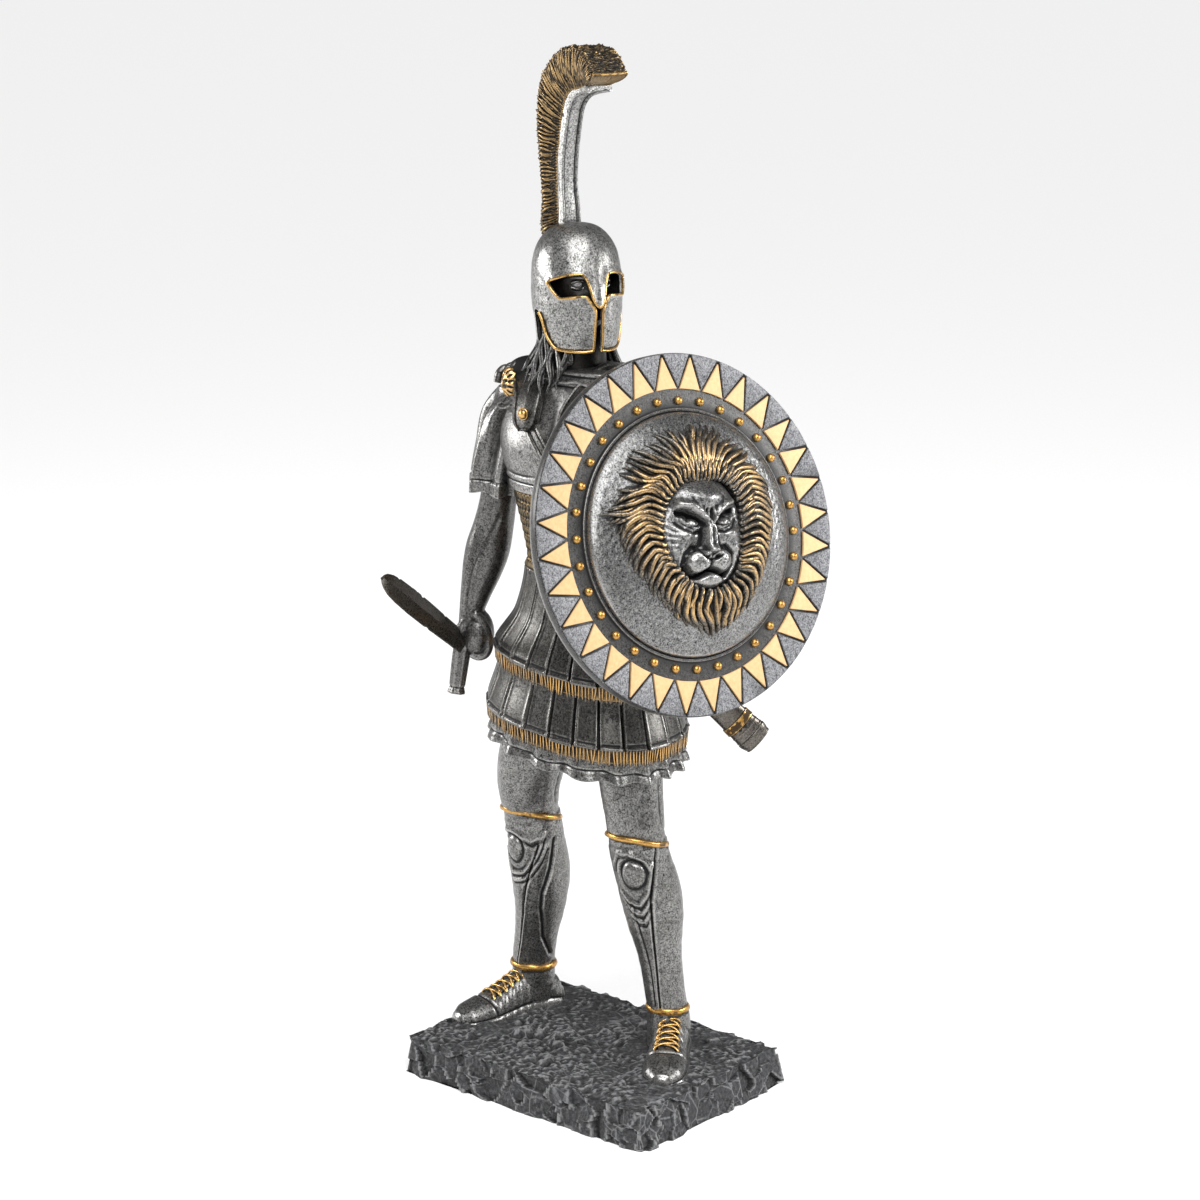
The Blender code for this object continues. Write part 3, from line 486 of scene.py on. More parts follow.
def rockPaint():
    paint = Paint("charcoalRock")
    wear = paint.mark("wear")
    fine = paint.noise(900.0, 5.0, 0.7)
    chips = paint.cells(420.0, feature="DISTANCE_TO_EDGE")
    patches = paint.noise(60.0, 3.0, 0.6)
    edge = (wear + (fine - 0.5) * 1.1).between(0.2, 0.9)
    cracked = chips.between(0.1, 0.0) * 0.35
    veins = paint.cells(150.0, feature="DISTANCE_TO_EDGE").between(0.045, 0.0) * patches.between(0.44, 0.6)
    tone = paint.mix(fine.between(0.38, 0.64), (0.008, 0.008, 0.009), (0.075, 0.075, 0.079))
    tone = paint.mix(patches.between(0.45, 0.75) * 0.5, tone, (0.035, 0.035, 0.038))
    tone = paint.mix(edge * 0.72, tone, (0.27, 0.27, 0.275))
    tone = paint.mix(veins * 0.75, tone, (0.21, 0.21, 0.215))
    tone = paint.mix((0.0 - wear).between(0.25, 1.1) * 0.9, tone, (0.003, 0.003, 0.003))
    tone = paint.mix(cracked, tone, (0.008, 0.008, 0.008))
    height = fine * 0.6 + paint.noise(2600.0, 2.0) * 0.4
    return paint.finish(Base_Color=tone, Roughness=(0.62 + fine * 0.3).held(), Metallic=0.15,
                        Normal=paint.dents(height, 0.16))


rock = rockPaint()
print("paints mixed")


studio = {"cameraPlace": (0.6068, -0.7174, 0.395), "cameraAzimuth": 40.0, "cameraDown": 14.1, "lens": 93.5}


def setCamera():
    bpy.ops.object.camera_add(location=studio["cameraPlace"])
    camera = bpy.context.object
    camera.rotation_euler = (math.radians(90 - studio["cameraDown"]), 0,
                             math.radians(studio["cameraAzimuth"]))
    camera.data.lens = studio["lens"]
    camera.data.sensor_width = 36
    bpy.context.scene.camera = camera


def softbox(name, azimuth, height, distance, size, power, aim=(0, 0, 0.17)):
    spot = heading(azimuth) * distance + np.array([0, 0, height])
    bpy.ops.object.light_add(type="AREA", location=spot)
    lamp = bpy.context.object
    lamp.name = name
    lamp.data.size = size
    lamp.data.energy = power
    lamp.rotation_euler = (Vector(aim) - Vector(spot)).to_track_quat("-Z", "Y").to_euler()


def setStudio():
    setCamera()
    softbox("leftStrip", -62, 0.36, 0.75, 0.26, 3.6)
    softbox("rightStrip", 128, 0.4, 0.8, 0.25, 4.5)
    softbox("faceLight", 40, 0.62, 1.0, 0.22, 2.5)
    bpy.ops.object.light_add(type="SUN", location=(0, 0, 1))
    sun = bpy.context.object
    sun.name = "softSky"
    sun.data.energy = 2.8
    sun.data.angle = math.radians(50)
    sun.rotation_euler = (-Vector(rises(48, 56))).to_track_quat("-Z", "Y").to_euler()
    world = bpy.context.scene.world or bpy.data.worlds.new("studio")
    bpy.context.scene.world = world
    world.use_nodes = True
    world.node_tree.nodes["Background"].inputs["Color"].default_value = (1, 1, 1, 1)
    world.node_tree.nodes["Background"].inputs["Strength"].default_value = 0.22
    bpy.context.scene.view_settings.view_transform = "Standard"
    clearSelection()
    bpy.ops.mesh.primitive_plane_add(size=30, location=(0, 0, 0))
    floor = bpy.context.object
    floor.name = "floor"
    paint = Paint("paleFloor")
    speck = paint.noise(400.0, 2.0)
    tone = paint.mix(speck, (0.93, 0.93, 0.93), (0.97, 0.97, 0.97))
    floor.data.materials.append(paint.finish(Base_Color=tone, Roughness=0.9))


setStudio()
print("studio set")


plinthSizes = {"width": 97.6, "depth": 68.8, "height": 12.5, "flare": 1.6, "sideChip": 1.1, "topChip": 0.42,
               "shift": (0.7, 0.55), "cuts": 112, "facets": 330}
looseStones = [(-20.2, -10.5, 3.4, 20), (-16.4, -8.2, 2.4, 70), (-9.0, -8.0, 3.2, 50), (-5.6, -9.6, 2.2, 15),
               (-1.5, -22.5, 2.8, 75), (-5.0, -24.5, 1.8, 30), (-33.5, -21.0, 1.6, 10), (-2.5, -3.5, 1.7, 40),
               (31.0, 24.0, 2.4, 35), (4.0, 21.0, 2.0, 60)]


def makePlinth():
    sizes = plinthSizes
    clearSelection()
    bpy.ops.mesh.primitive_cube_add(size=2)
    slab = bpy.context.object
    bpy.ops.object.mode_set(mode="EDIT")
    bpy.ops.mesh.select_all(action="SELECT")
    bpy.ops.mesh.subdivide(number_cuts=sizes["cuts"])
    bpy.ops.object.mode_set(mode="OBJECT")
    box = spotsOf(slab.data)
    x, y, up = box[:, 0], box[:, 1], (box[:, 2] + 1) / 2
    halfWidth, halfDepth = sizes["width"] / 2, sizes["depth"] / 2
    grow = 1 + sizes["flare"] / halfDepth * (1 - up)
    points = np.stack([x * halfWidth * grow, y * halfDepth * grow, up * sizes["height"]], 1)
    # worn corners and an uneven outline
    corner = smooth(0.8, 1.0, np.abs(x)) * smooth(0.76, 1.0, np.abs(y))
    points[:, :2] *= (1 - 0.012 * corner)[:, None]
    outward = np.stack([np.sign(x) * (np.abs(x) > 0.999), np.sign(y) * (np.abs(y) > 0.999)], 1)
    atSide = np.abs(outward).max(1) > 0
    atTop = box[:, 2] > 0.999
    seeds = np.random.default_rng(7)
    cells = seeds.uniform((-halfWidth, -halfDepth, -1), (halfWidth, halfDepth, sizes["height"] + 1),
                          (sizes["facets"] * 4, 3))
    near = np.maximum(np.abs(cells[:, 0]) / halfWidth, np.abs(cells[:, 1]) / halfDepth)
    cells = cells[near > 0.8]
    tilt = seeds.normal(size=(len(cells), 3)) * 0.26
    push = seeds.uniform(-1.0, 0.35, len(cells))
    side = np.nonzero(atSide)[0]
    for part in np.array_split(side, 40):
        gap = points[part][:, None, :] - cells[None, :, :]
        nearest = (gap ** 2).sum(2).argmin(1)
        own = points[part] - cells[nearest]
        dent = push[nearest] + (own * tilt[nearest]).sum(1)
        dent = np.clip(dent * 0.8, -1.5, 0.45) * sizes["sideChip"]
        points[part, :2] += outward[part] * dent[:, None]
        points[part, :2] += outward[part] * (0.07 * drift(points[part], 1.6, 3))[:, None]
    # the top: low swells, chisel chips and a broken edge
    rim = smooth(0.9, 1.0, np.maximum(np.abs(x), np.abs(y)))
    between = bump(np.hypot(points[:, 0] + 8, points[:, 1] + 14), 0, 16)
    broken = smooth(-0.5, 0.9, drift(points, 13.0, 15) + 0.9 * between)
    swell = 0.35 * drift(points, 17.0, 5) + (0.14 + 0.3 * broken) * drift(points, 4.4, 6)
    swell += (0.1 + 0.34 * broken) * drift(points, 1.9, 8)
    chip = np.maximum(drift(points, 3.4, 9) - 0.6, 0) * 0.35
    lift = (swell - chip) * sizes["topChip"] / 0.42 - 0.5 * rim * (1 + drift(points, 6.0, 12))
    points[:, 2] += np.where(atTop, np.clip(lift, -1.3, 1.0), 0)
    for px, py, size, turn in looseStones:
        a = math.radians(turn)
        dx, dy = points[:, 0] - px, points[:, 1] - py
        u, v = dx * math.cos(a) + dy * math.sin(a), dy * math.cos(a) - dx * math.sin(a)
        reach = np.maximum(np.abs(u + 0.3 * v), np.abs(v - 0.25 * u) * 1.15) / size
        stone = (1 - smooth(0.78, 1.0, reach)) * (size * 0.62 + 0.22 * u - 0.16 * v)
        points[:, 2] += np.where(atTop, stone, 0)
    points[:, 2] = np.where(up < 0.001, 0, points[:, 2])
    points[:, :2] += np.array(sizes["shift"])
    moveTo(slab.data, points)
    slab.name = "plinthRock"
    done(slab, rock, "plinth", crease=40, reach=0.9, full=0.22)


makePlinth()
print("plinth made")


shieldSizes = {"seat": (41.2, -4.6, 174.9), "azimuth": 76.0, "lean": 14.6, "stand": 2.3, "radius": 54.6,
               "thick": 3.4, "dome": 36.9, "domeRise": 8.0, "studRing": 40.4, "studs": 32, "studWide": 1.35,
               "triangleIn": 43.8, "triangleOut": 53.3, "plate": 0.42, "silverBase": 54.3, "plateGap": 0.44,
               "backRim": 4.5}
shieldOut = rises(shieldSizes["azimuth"], shieldSizes["lean"])
shieldRight = unit(np.cross((0, 0, 1), shieldOut))
shieldUp = np.cross(shieldOut, shieldRight)
shieldMiddle = np.array(shieldSizes["seat"]) + (0, 0, soleLevel) + shieldOut * shieldSizes["stand"]


def onShield(x, y, height):
    # place on the shield: right, up and outwards from the middle of its face
    x, y, height = np.broadcast_arrays(x, y, height)
    return shieldMiddle + x[..., None] * shieldRight + y[..., None] * shieldUp + height[..., None] * shieldOut


def domeHeight(radius):
    share = np.clip(radius / shieldSizes["dome"], 0, 1)
    return 0.86 * shieldSizes["domeRise"] * np.sqrt(np.maximum(1 - share ** 2, 0)) + 0.6


def turnedProfile(name, profile, columns):
    # a profile of radius and height, turned once round the shield's middle
    profile = np.array(profile)

    def place(across, along):
        radius, height = onSection(profile, along)
        angle = across * fullTurn
        return onShield(radius * np.cos(angle), radius * np.sin(angle), height)
    return surface(name, columns, len(profile) - 1, place)


def makeBoard():
    s = shieldSizes
    r, d, back = s["radius"], s["dome"], -s["thick"]
    inner = r - s["backRim"]
    profile = [(d - 4, -0.6), (d - 0.9, -0.6), (d - 0.55, -0.45), (d - 0.1, -0.45), (d + 0.15, 0.1),
               (d + 0.35, 0.42), (d + 0.75, 0.5), (d + 1.1, 0.4), (d + 1.3, -0.2), (d + 1.7, -0.25),
               (s["triangleIn"] - 0.9, -0.25), (s["triangleIn"] - 0.6, -0.25), (s["triangleIn"] - 0.3, -0.25),
               (r - 0.7, -0.25), (r - 0.5, -0.2), (r - 0.3, -0.1), (r - 0.1, -0.15), (r, -0.5), (r, -1.2),
               (r, back + 0.6), (r - 0.2, back + 0.15), (r - 0.6, back), (inner + 0.3, back),
               (inner, back + 0.15), (inner - 0.7, back + 0.9), (inner - 1.4, back + 1.4),
               (inner - 3, back + 1.4), (inner - 12, back + 1.35), (inner - 24, back + 1.3), (12, back + 1.3),
               (0.0, back + 1.3)]
    board = turnedProfile("shieldBoard", profile, 288)
    done(board, boardPaint, "shield", crease=60, full=0.14)


def trianglePlates(name, flip):
    # one raised plate with a curved base, pointing outwards or inwards, copied round the rim
    s = shieldSizes
    gap = s["plateGap"]
    pitch = fullTurn / s["studs"]
    points, faces = [], []
    base = s["silverBase"] if flip else s["triangleIn"]
    tip = s["triangleIn"] + 1.6 * gap if flip else s["triangleOut"]
    for index in range(s["studs"]):
        middle = (index + (0.5 if flip else 0)) * pitch
        half = pitch / 2 - 1.25 * gap / base
        spots = [(base, middle + half * k / 4) for k in range(-4, 5)]
        spots += [(tip, middle + 0.1 / tip), (tip, middle - 0.1 / tip)]
        if flip:
            spots = spots[::-1]
        flat = np.array([(r * math.cos(a), r * math.sin(a)) for r, a in spots])
        centre = flat.mean(0)
        count, start = len(flat), len(points)
        for share, height in ((1.0, -0.3), (1.0, s["plate"] - 0.14), (0.96, s["plate"])):
            points += [(x, y, height) for x, y in centre + (flat - centre) * share]
        for level in (0, count):
            for k in range(count):
                n = (k + 1) % count
                here, beside = start + level + k, start + level + n
                faces.append([here, beside, beside + count, here + count])
        faces.append([start + 2 * count + k for k in range(count)])
        faces.append([start + k for k in range(count)][::-1])
    points = np.array(points)
    placed = onShield(points[:, 0], points[:, 1], points[:, 2]) * millimetre
    mesh = bpy.data.meshes.new(name)
    mesh.from_pydata(placed.tolist(), [], faces)
    plates = bpy.data.objects.new(name, mesh)
    bpy.context.collection.objects.link(plates)
    return closeUp(plates, 0.001)


def makeTriangles():
    cream = trianglePlates("shieldCreamTriangles", False)
    done(cream, creamPaint, "shield", crease=30, full=9.0)
    silver = trianglePlates("shieldSilverTriangles", True)
    done(silver, silverPaint, "shield", crease=30, full=9.0)


def makeStuds():
    s = shieldSizes
    studs = []
    for index in range(s["studs"]):
        angle = fullTurn * (index + 0.5) / s["studs"]
        wobble = 0.15 * math.sin(index * 2.4)
        radius = s["studRing"] + wobble

        def place(across, along, angle=angle, radius=radius):
            # a low dome with a rounded foot
            size = s["studWide"] * np.sin(along * math.pi / 2)
            height = 1.25 * np.cos(along * math.pi / 2) - 0.1
            turn = across * fullTurn
            return onShield(radius * math.cos(angle) + size * np.cos(turn),
                            radius * math.sin(angle) + size * np.sin(turn), height)
        studs.append(surface("stud", 16, 7, place))
    done(merged("shieldStuds", studs), goldPaint, "shield", full=0.25)


makeBoard()
makeTriangles()
makeStuds()
print("shield board made")


lionSizes = {"cells": 296, "faceRise": 5.2, "faceHalf": (15.2, 18.0), "faceMiddle": (-1.6, 0.2), "tilt": -5.0,
             "moundRise": 1.7}


def turnedFace(x, y):
    # places on the face's own axes, a little turned on the shield
    a = math.radians(lionSizes["tilt"])
    dx, dy = x - lionSizes["faceMiddle"][0], y - lionSizes["faceMiddle"][1]
    return dx * math.cos(a) + dy * math.sin(a), dy * math.cos(a) - dx * math.sin(a)


def lionFace(x, y):
    # height of the lion's face over the dome, in millimetres
    px, py = turnedFace(x, y)
    side = np.abs(px)
    ax, ay = lionSizes["faceHalf"]
    oval = (px / ax) ** 2 + (py / ay) ** 2
    rise = lionSizes["moundRise"] * smooth(2.05, 1.25, np.sqrt(oval))
    rise = np.maximum(rise, lionSizes["faceRise"] * np.sqrt(np.clip(1 - oval, 0, 1)) ** 0.6)
    mask = smooth(1.0, 0.72, oval)

    def line(points, width):
        return nearTo(side, py, points, width)

    def lump(u, v, wide, high):
        return np.exp(-((side - u) / wide) ** 2 - ((py - v) / high) ** 2)
    # full smooth forehead, furrowed between the brows
    detail = 3.3 * lump(0.2, 10.2, 7.0, 4.4) + 0.5 * lump(7.0, 11.0, 3.0, 3.0)
    detail -= 1.2 * line([(0.55, 2.6), (0.9, 6.4)], 0.5) + 0.35 * line([(2.3, 5.2), (2.2, 7.4)], 0.5)
    detail -= 0.2 * line([(4.6, 7.4), (5.6, 10.6)], 0.7)
    # heavy brows that run steeply down to the nose
    detail += 1.9 * line([(1.2, 3.8), (3.2, 5.7), (6.2, 7.9), (9.6, 8.6)], 1.35)
    detail += 0.9 * lump(1.5, 4.0, 1.2, 1.0)
    detail -= 2.5 * line([(1.9, 2.4), (4.6, 4.0), (7.8, 5.6), (9.8, 6.0)], 0.85)
    # narrow eyes under them
    eye = np.clip(1 - ((side - 5.6) / 2.3) ** 2 - ((py - 3.0) / 1.15) ** 2, 0, 1)
    detail += 1.8 * np.sqrt(eye) - 0.9 * lump(5.2, 3.0, 0.5, 0.5)
    detail += 0.6 * line([(2.7, 2.3), (4.6, 4.0), (7.6, 5.0)], 0.3)
    detail += 0.9 * line([(2.7, 1.5), (4.8, 1.2), (7.6, 2.3), (9.4, 4.2)], 0.5)
    detail -= 0.7 * line([(3.2, 0.2), (5.8, -0.3), (8.8, 1.0), (11.0, 3.2)], 0.45)
    detail += 2.1 * lump(8.3, -0.6, 2.8, 2.2) + 1.0 * lump(10.6, -5.2, 2.2, 3.4)
    # nose bridge with a crease on each side and a broad tip
    bridge = 1 / (1 + (side / 1.95) ** 6)
    detail += 2.7 * bridge * smooth(4.4, 2.2, py) * smooth(-6.8, -5.2, py)
    detail -= 0.4 * bump(px, 0, 0.75) * smooth(3.0, 1.0, py) * smooth(-5.0, -3.0, py)
    detail -= 1.4 * line([(2.7, 1.2), (2.9, -1.2), (3.5, -3.6)], 0.65)
    detail += 1.9 * lump(0, -6.0, 2.8, 1.6) + 1.1 * lump(2.7, -6.3, 1.0, 1.0)
    detail -= 1.7 * lump(1.6, -7.3, 0.8, 0.5)
    detail -= line([(0.0, -8.1), (1.5, -8.0), (3.3, -7.0), (3.9, -5.6)], 0.4)
    # muzzle lobes with whisker pits, the cleft, the drooping mouth and the full lower lip
    lobe = np.clip(1 - ((side - 3.9) / 4.2) ** 2 - ((py + 8.8) / 3.5) ** 2, 0, 1)
    detail += 2.5 * np.sqrt(lobe)
    pits = np.sin(side * 3.6 + py * 1.2) * np.sin(py * 3.9)
    detail -= 0.2 * smooth(0.5, 0.95, pits) * smooth(0.1, 0.4, lobe)
    detail -= 1.3 * line([(9.2, -10.0), (8.6, -6.4), (6.2, -4.4), (4.4, -4.6)], 0.7)
    detail -= 1.6 * bump(px, 0, 0.45) * smooth(-7.8, -8.6, py) * smooth(-11.6, -10.8, py)
    detail -= 3.8 * line([(0.0, -11.2), (2.2, -12.0), (4.8, -13.2), (6.8, -12.8), (8.4, -10.4)], 0.66)
    lip = np.clip(1 - (px / 5.8) ** 2 - ((py + 14.3) / 2.8) ** 2, 0, 1)
    detail += 2.7 * np.sqrt(lip) - 0.8 * line([(0, -17.0), (2.8, -16.6), (4.8, -15.4)], 0.5)
    # short fur at the sides of the face
    turn = np.arctan2(py + 3.0, px + 1e-6)
    fur = np.sin(turn * 46 + 1.5 * np.sin(3 * turn) + 0.5 * np.hypot(px, py))
    detail += 0.08 * fur * smooth(8.5, 11.5, side)
    return rise + mask * detail


def makeLionFace():
    cells = lionSizes["cells"]

    def place(across, along):
        # the square grid is eased into a disc, so that its cells stay even
        a, b = 2 * across - 1, 2 * along - 1
        x = a * np.sqrt(1 - b * b / 2) * shieldSizes["dome"]
        y = b * np.sqrt(1 - a * a / 2) * shieldSizes["dome"]
        radius = np.hypot(x, y)
        height = domeHeight(radius) + lionFace(x, y)
        flat = np.stack([x, y, 0 * x], 1)
        height += 0.035 * drift(flat, 2.4, 21) * smooth(36, 34, radius)
        return onShield(x, y, np.where(radius > shieldSizes["dome"] - 0.05, -0.5, height))
    face = surface("shieldLionDome", cells, cells, place)
    done(face, shieldPewter, "shield", full=0.11, reach=0.7)


# each guide lock runs from the face through two bends to its tip, right and up on the shield
maneGuides = [[(-1.3, 16.5), (-0.5, 21.5), (-0.0, 26.8), (1.2, 31.8)],
              [(-3.6, 17.0), (-3.9, 21.9), (-5.7, 26.9), (-9.2, 31.2)],
              [(-6.3, 16.7), (-7.2, 21.3), (-11.2, 23.0), (-17.6, 27.2)],
              [(-9.2, 15.3), (-11.1, 19.3), (-15.5, 20.1), (-21.1, 24.4)],
              [(-11.7, 13.6), (-14.7, 16.9), (-18.7, 17.2), (-23.7, 20.8)],
              [(-13.8, 11.6), (-18.4, 15.0), (-23.7, 14.0), (-29.2, 12.0)],
              [(-15.4, 9.2), (-20.8, 10.9), (-26.8, 8.7), (-33.8, 10.0)],
              [(-16.5, 5.8), (-22.0, 7.9), (-26.8, 5.7), (-28.9, 2.4)],
              [(-17.2, 2.2), (-21.9, 4.0), (-25.8, 1.3), (-28.0, -2.4)],
              [(-17.0, -1.3), (-21.1, -0.3), (-24.5, -3.5), (-26.3, -7.6)],
              [(-16.2, -5.0), (-19.3, -4.5), (-22.1, -8.3), (-22.7, -12.6)],
              [(-14.3, -8.2), (-17.4, -8.3), (-19.7, -12.4), (-20.3, -16.6)],
              [(-12.3, -11.0), (-15.0, -12.5), (-16.7, -16.1), (-16.4, -20.3)],
              [(-10.1, -13.4), (-12.4, -16.5), (-13.5, -20.8), (-11.1, -25.6)],
              [(-7.4, -15.9), (-9.3, -20.8), (-8.0, -25.0), (-4.8, -28.8)],
              [(-3.0, -17.6), (-4.7, -22.1), (-2.4, -26.5), (-1.1, -31.3)],
              [(1.7, -17.3), (3.4, -22.5), (2.7, -26.7), (2.6, -30.1)],
              [(5.5, -15.8), (8.4, -19.8), (8.4, -24.3), (7.2, -28.1)],
              [(8.3, -13.6), (12.9, -16.4), (13.9, -20.5), (12.4, -24.9)],
              [(9.8, -10.6), (16.3, -11.1), (18.6, -15.2), (17.0, -19.3)],
              [(10.9, -6.9), (17.6, -6.4), (20.9, -9.8), (20.9, -14.2)],
              [(11.7, -3.1), (18.4, -1.9), (23.0, -4.6), (25.1, -7.1)],
              [(12.5, 0.3), (18.5, 2.3), (24.2, -0.2), (26.6, -3.4)],
              [(13.1, 3.5), (18.4, 6.2), (24.3, 4.2), (27.7, 0.5)],
              [(13.4, 6.7), (18.5, 9.7), (24.2, 8.2), (27.9, 3.4)],
              [(12.6, 9.7), (18.0, 13.1), (23.9, 11.8), (28.6, 8.9)],
              [(10.8, 12.8), (16.2, 15.9), (22.8, 15.1), (28.1, 11.1)],
              [(8.5, 14.6), (12.3, 18.4), (18.5, 20.2), (22.7, 21.4)],
              [(6.0, 15.7), (8.6, 20.2), (13.3, 23.7), (20.2, 24.3)],
              [(3.6, 16.2), (5.1, 20.7), (8.3, 25.7), (13.7, 28.6)],
              [(1.2, 16.5), (2.4, 21.7), (4.5, 26.2), (8.8, 31.0)]]
maneSizes = {"steps": 30, "sides": 12,
             # count, offset, the part of the guide each covers, lift at root, middle and tip, half width
             "layers": [(66, 0.5, (0.15, 1.03), (1.4, 1.6, 0.4), 0.92),
                        (62, 0.0, (-0.05, 0.97), (3.3, 3.4, 1.0), 0.88),
                        (52, 0.25, (-0.12, 0.52), (3.8, 4.5, 2.4), 0.68)]}


def makeMane():
    # locks laid between the guides, in three layers over the dome, which painted shade darkens under them
    paths, widths = [], []
    steps = maneSizes["steps"]
    guides = np.array(maneGuides, float).reshape(len(maneGuides), -1)
    ring = np.concatenate([guides, guides[:1]])
    share = np.linspace(0, 1, steps)
    for count, offset, (first, last), (root, middle, tip), wide in maneSizes["layers"]:
        for index in range(count):
            spot = ((index + offset) / count * len(guides)) % len(guides)
            low = int(spot)
            t = spot - low
            own = (ring[low] * (1 - t) + ring[low + 1] * t).reshape(4, 2)
            ease = 1 + dice.normal() * 0.035
            reach = np.clip(first + (last * ease - first) * share, -0.06, 1.06)
            line = follow(own, np.clip(reach, 0, 1))
            over = (reach - np.clip(reach, 0, 1))[:, None]
            line = line + over * (own[3] - own[0]) * 0.9
            course = unit(np.gradient(line, axis=0))
            across = np.stack([-course[:, 1], course[:, 0]], 1)
            wave = 0.55 * np.sin(fullTurn * (1.15 * share + 0.16 * dice.normal())) * share
            line = line + across * wave[:, None]
            lift = np.interp(share, [0, 0.45, 0.8, 1.0], [root, middle, (middle + tip) / 2, tip])
            height = domeHeight(np.hypot(line[:, 0], line[:, 1])) + lift
            paths.append(onShield(line[:, 0], line[:, 1], height))
            body = wide * (0.7 + 0.36 * np.sin(np.pi * np.clip(0.08 + 0.8 * share, 0, 1)))
            body = body * (1 - smooth(0.7, 1.0, share) * 0.82)
            widths.append(body * (0.88 + 0.24 * dice.random()))
    widths = np.array(widths)
    locks = strands("shieldLionMane", np.array(paths), widths, widths * 1.3, shieldOut,
                    sides=maneSizes["sides"])
    done(locks, manePaint, "shield", crease=75, reach=0.3)


makeLionFace()
makeMane()
print("lion carved")


torsoSections = [(97.4, -6.4, 6.9, 33.0, 25.4), (107, -6.4, 6.9, 31.2, 23.8), (118, -6.4, 6.9, 29.6, 22.3),
                 (130, -6.2, 7.2, 27.6, 20.4), (143, -5.6, 7.5, 23.6, 17.0), (156, -5.0, 7.5, 21.5, 15.2),
                 (166, -5.0, 7.0, 22.5, 15.8), (178, -5.0, 6.5, 25.5, 17.0), (192, -5.0, 6.0, 28.5, 17.5),
                 (203, -5.0, 6.5, 29.5, 16.0), (213, -5.0, 7.0, 24.5, 13.0), (221, -5.5, 7.0, 15.5, 10.5),
                 (228, -6.5, 6.0, 9.5, 9.5), (236, -8.0, 4.0, 8.5, 8.5)]
torsoTable = follow(torsoSections, np.linspace(0, 1, 700))
dressSizes = {"hem": 97.4, "folds": 17, "strips": 22, "lowerStraps": (108.0, 129.5, 1.8),
              "upperStraps": (126.9, 156.5, 2.2), "fringePerStrip": 8, "fringeLong": 5.0,
              "scales": (150, 36, 2.7, 80), "cuirassEdge": 181.0, "collar": 219.5}


def onTorso(angle, z, lift, inward=1.0):
    # angle from the figure's left round towards its back
    angle, z, lift, inward = np.broadcast_arrays(angle, z, lift, inward)
    midX, midY, half, deep = [np.interp(z, torsoTable[:, 0], torsoTable[:, k]) for k in (1, 2, 3, 4)]
    across, front = np.cos(angle), np.sin(angle)
    reach = (np.abs(across) ** 2.3 + np.abs(front) ** 2.3) ** (-1 / 2.3)
    along = across * (half * reach + lift) * inward
    back = front * (deep * reach + lift) * inward
    hang = (-0.124 * along + 0.026 * back) * (1 - smooth(128, 152, z))
    return np.stack([midX + along, midY + back, z + hang + soleLevel], -1)


def skirtFolds(angle, z):
    main = np.cos(dressSizes["folds"] * angle + 1.3 * np.sin(2 * angle))
    fine = np.cos(2 * dressSizes["folds"] * angle + 2.2 * np.sin(3 * angle) + 0.6)
    return (1.35 * main + 0.35 * fine) * (1 - smooth(97, 112, z))


def makeTunic():
    hem = dressSizes["hem"]

    def place(across, along):
        angle = across * fullTurn
        outer = np.clip((along - 0.2) / 0.8, 0, 1)
        under = np.clip(along / 0.2, 0, 1)
        z = hem + outer * 22
        lift = 0.72 * skirtFolds(angle, z) + 0.25 * bump(z, hem + 0.6, 1.0)
        lift -= 0.42 * bump(z, hem + 3.0 + 0.4 * np.sin(5 * angle), 0.34) * (along > 0.2)
        drop = 0.25 * np.cos(dressSizes["folds"] * angle + 1.3 * np.sin(2 * angle)) * (1 - smooth(97, 103, z))
        points = onTorso(angle, z, lift, np.where(along < 0.2, 0.05 + 0.935 * under ** 0.7, 1.0))
        points[:, 2] += np.where(along < 0.2, 5.0 * (1 - under) ** 0.8 + 0.3, 0) - drop
        return points
    tunic = surface("figureTunic", 420, 76, place)
    done(tunic, pewter, full=0.12)


def strapRow(name, row, seed):
    low, high, flare = row
    count = dressSizes["strips"]
    luck = np.random.default_rng(seed)
    stand = luck.uniform(-0.35, 0.45, count)
    reachDown = luck.uniform(-0.5, 0.5, count)

    def lean(angle):
        return angle + 0.05 * np.sin(3 * angle + seed)

    def place(across, along):
        angle = across * fullTurn
        share = (lean(angle) * count / fullTurn) % count
        index = share.astype(int) % count
        inside = np.abs(share - np.floor(share) - 0.5) * 2
        groove = smooth(0.86, 0.98, inside)
        outer = np.clip((along - 0.1) / 0.9, 0, 1)
        z = low + reachDown[index] * (1 - groove) * (1 - outer) + outer * (high - low)
        lower = 1 - smooth(low, low + 14, z)
        lift = 0.75 + flare * lower + stand[index] * (0.3 + 0.7 * lower)
        lift -= 1.05 * groove * (1 - 0.4 * (z > high - 3))
        lift += 0.22 * smooth(0.62, 0.82, inside) * (1 - groove)
        lift += 0.3 * bump(z, low + 0.8, 0.55) - 0.28 * bump(z, low + 1.9, 0.32)
        lift -= 1.2 * smooth(high - 1.2, high, z)
        under = np.clip(along / 0.1, 0, 1)
        points = onTorso(angle, z, lift, np.where(along < 0.1, 0.9 + 0.1 * under, 1.0))
        points[:, 2] += np.where(along < 0.1, 0.5 * (1 - under), 0)
        return points
    straps = surface(name, count * 26, 84, place)
    done(straps, strapPaint)


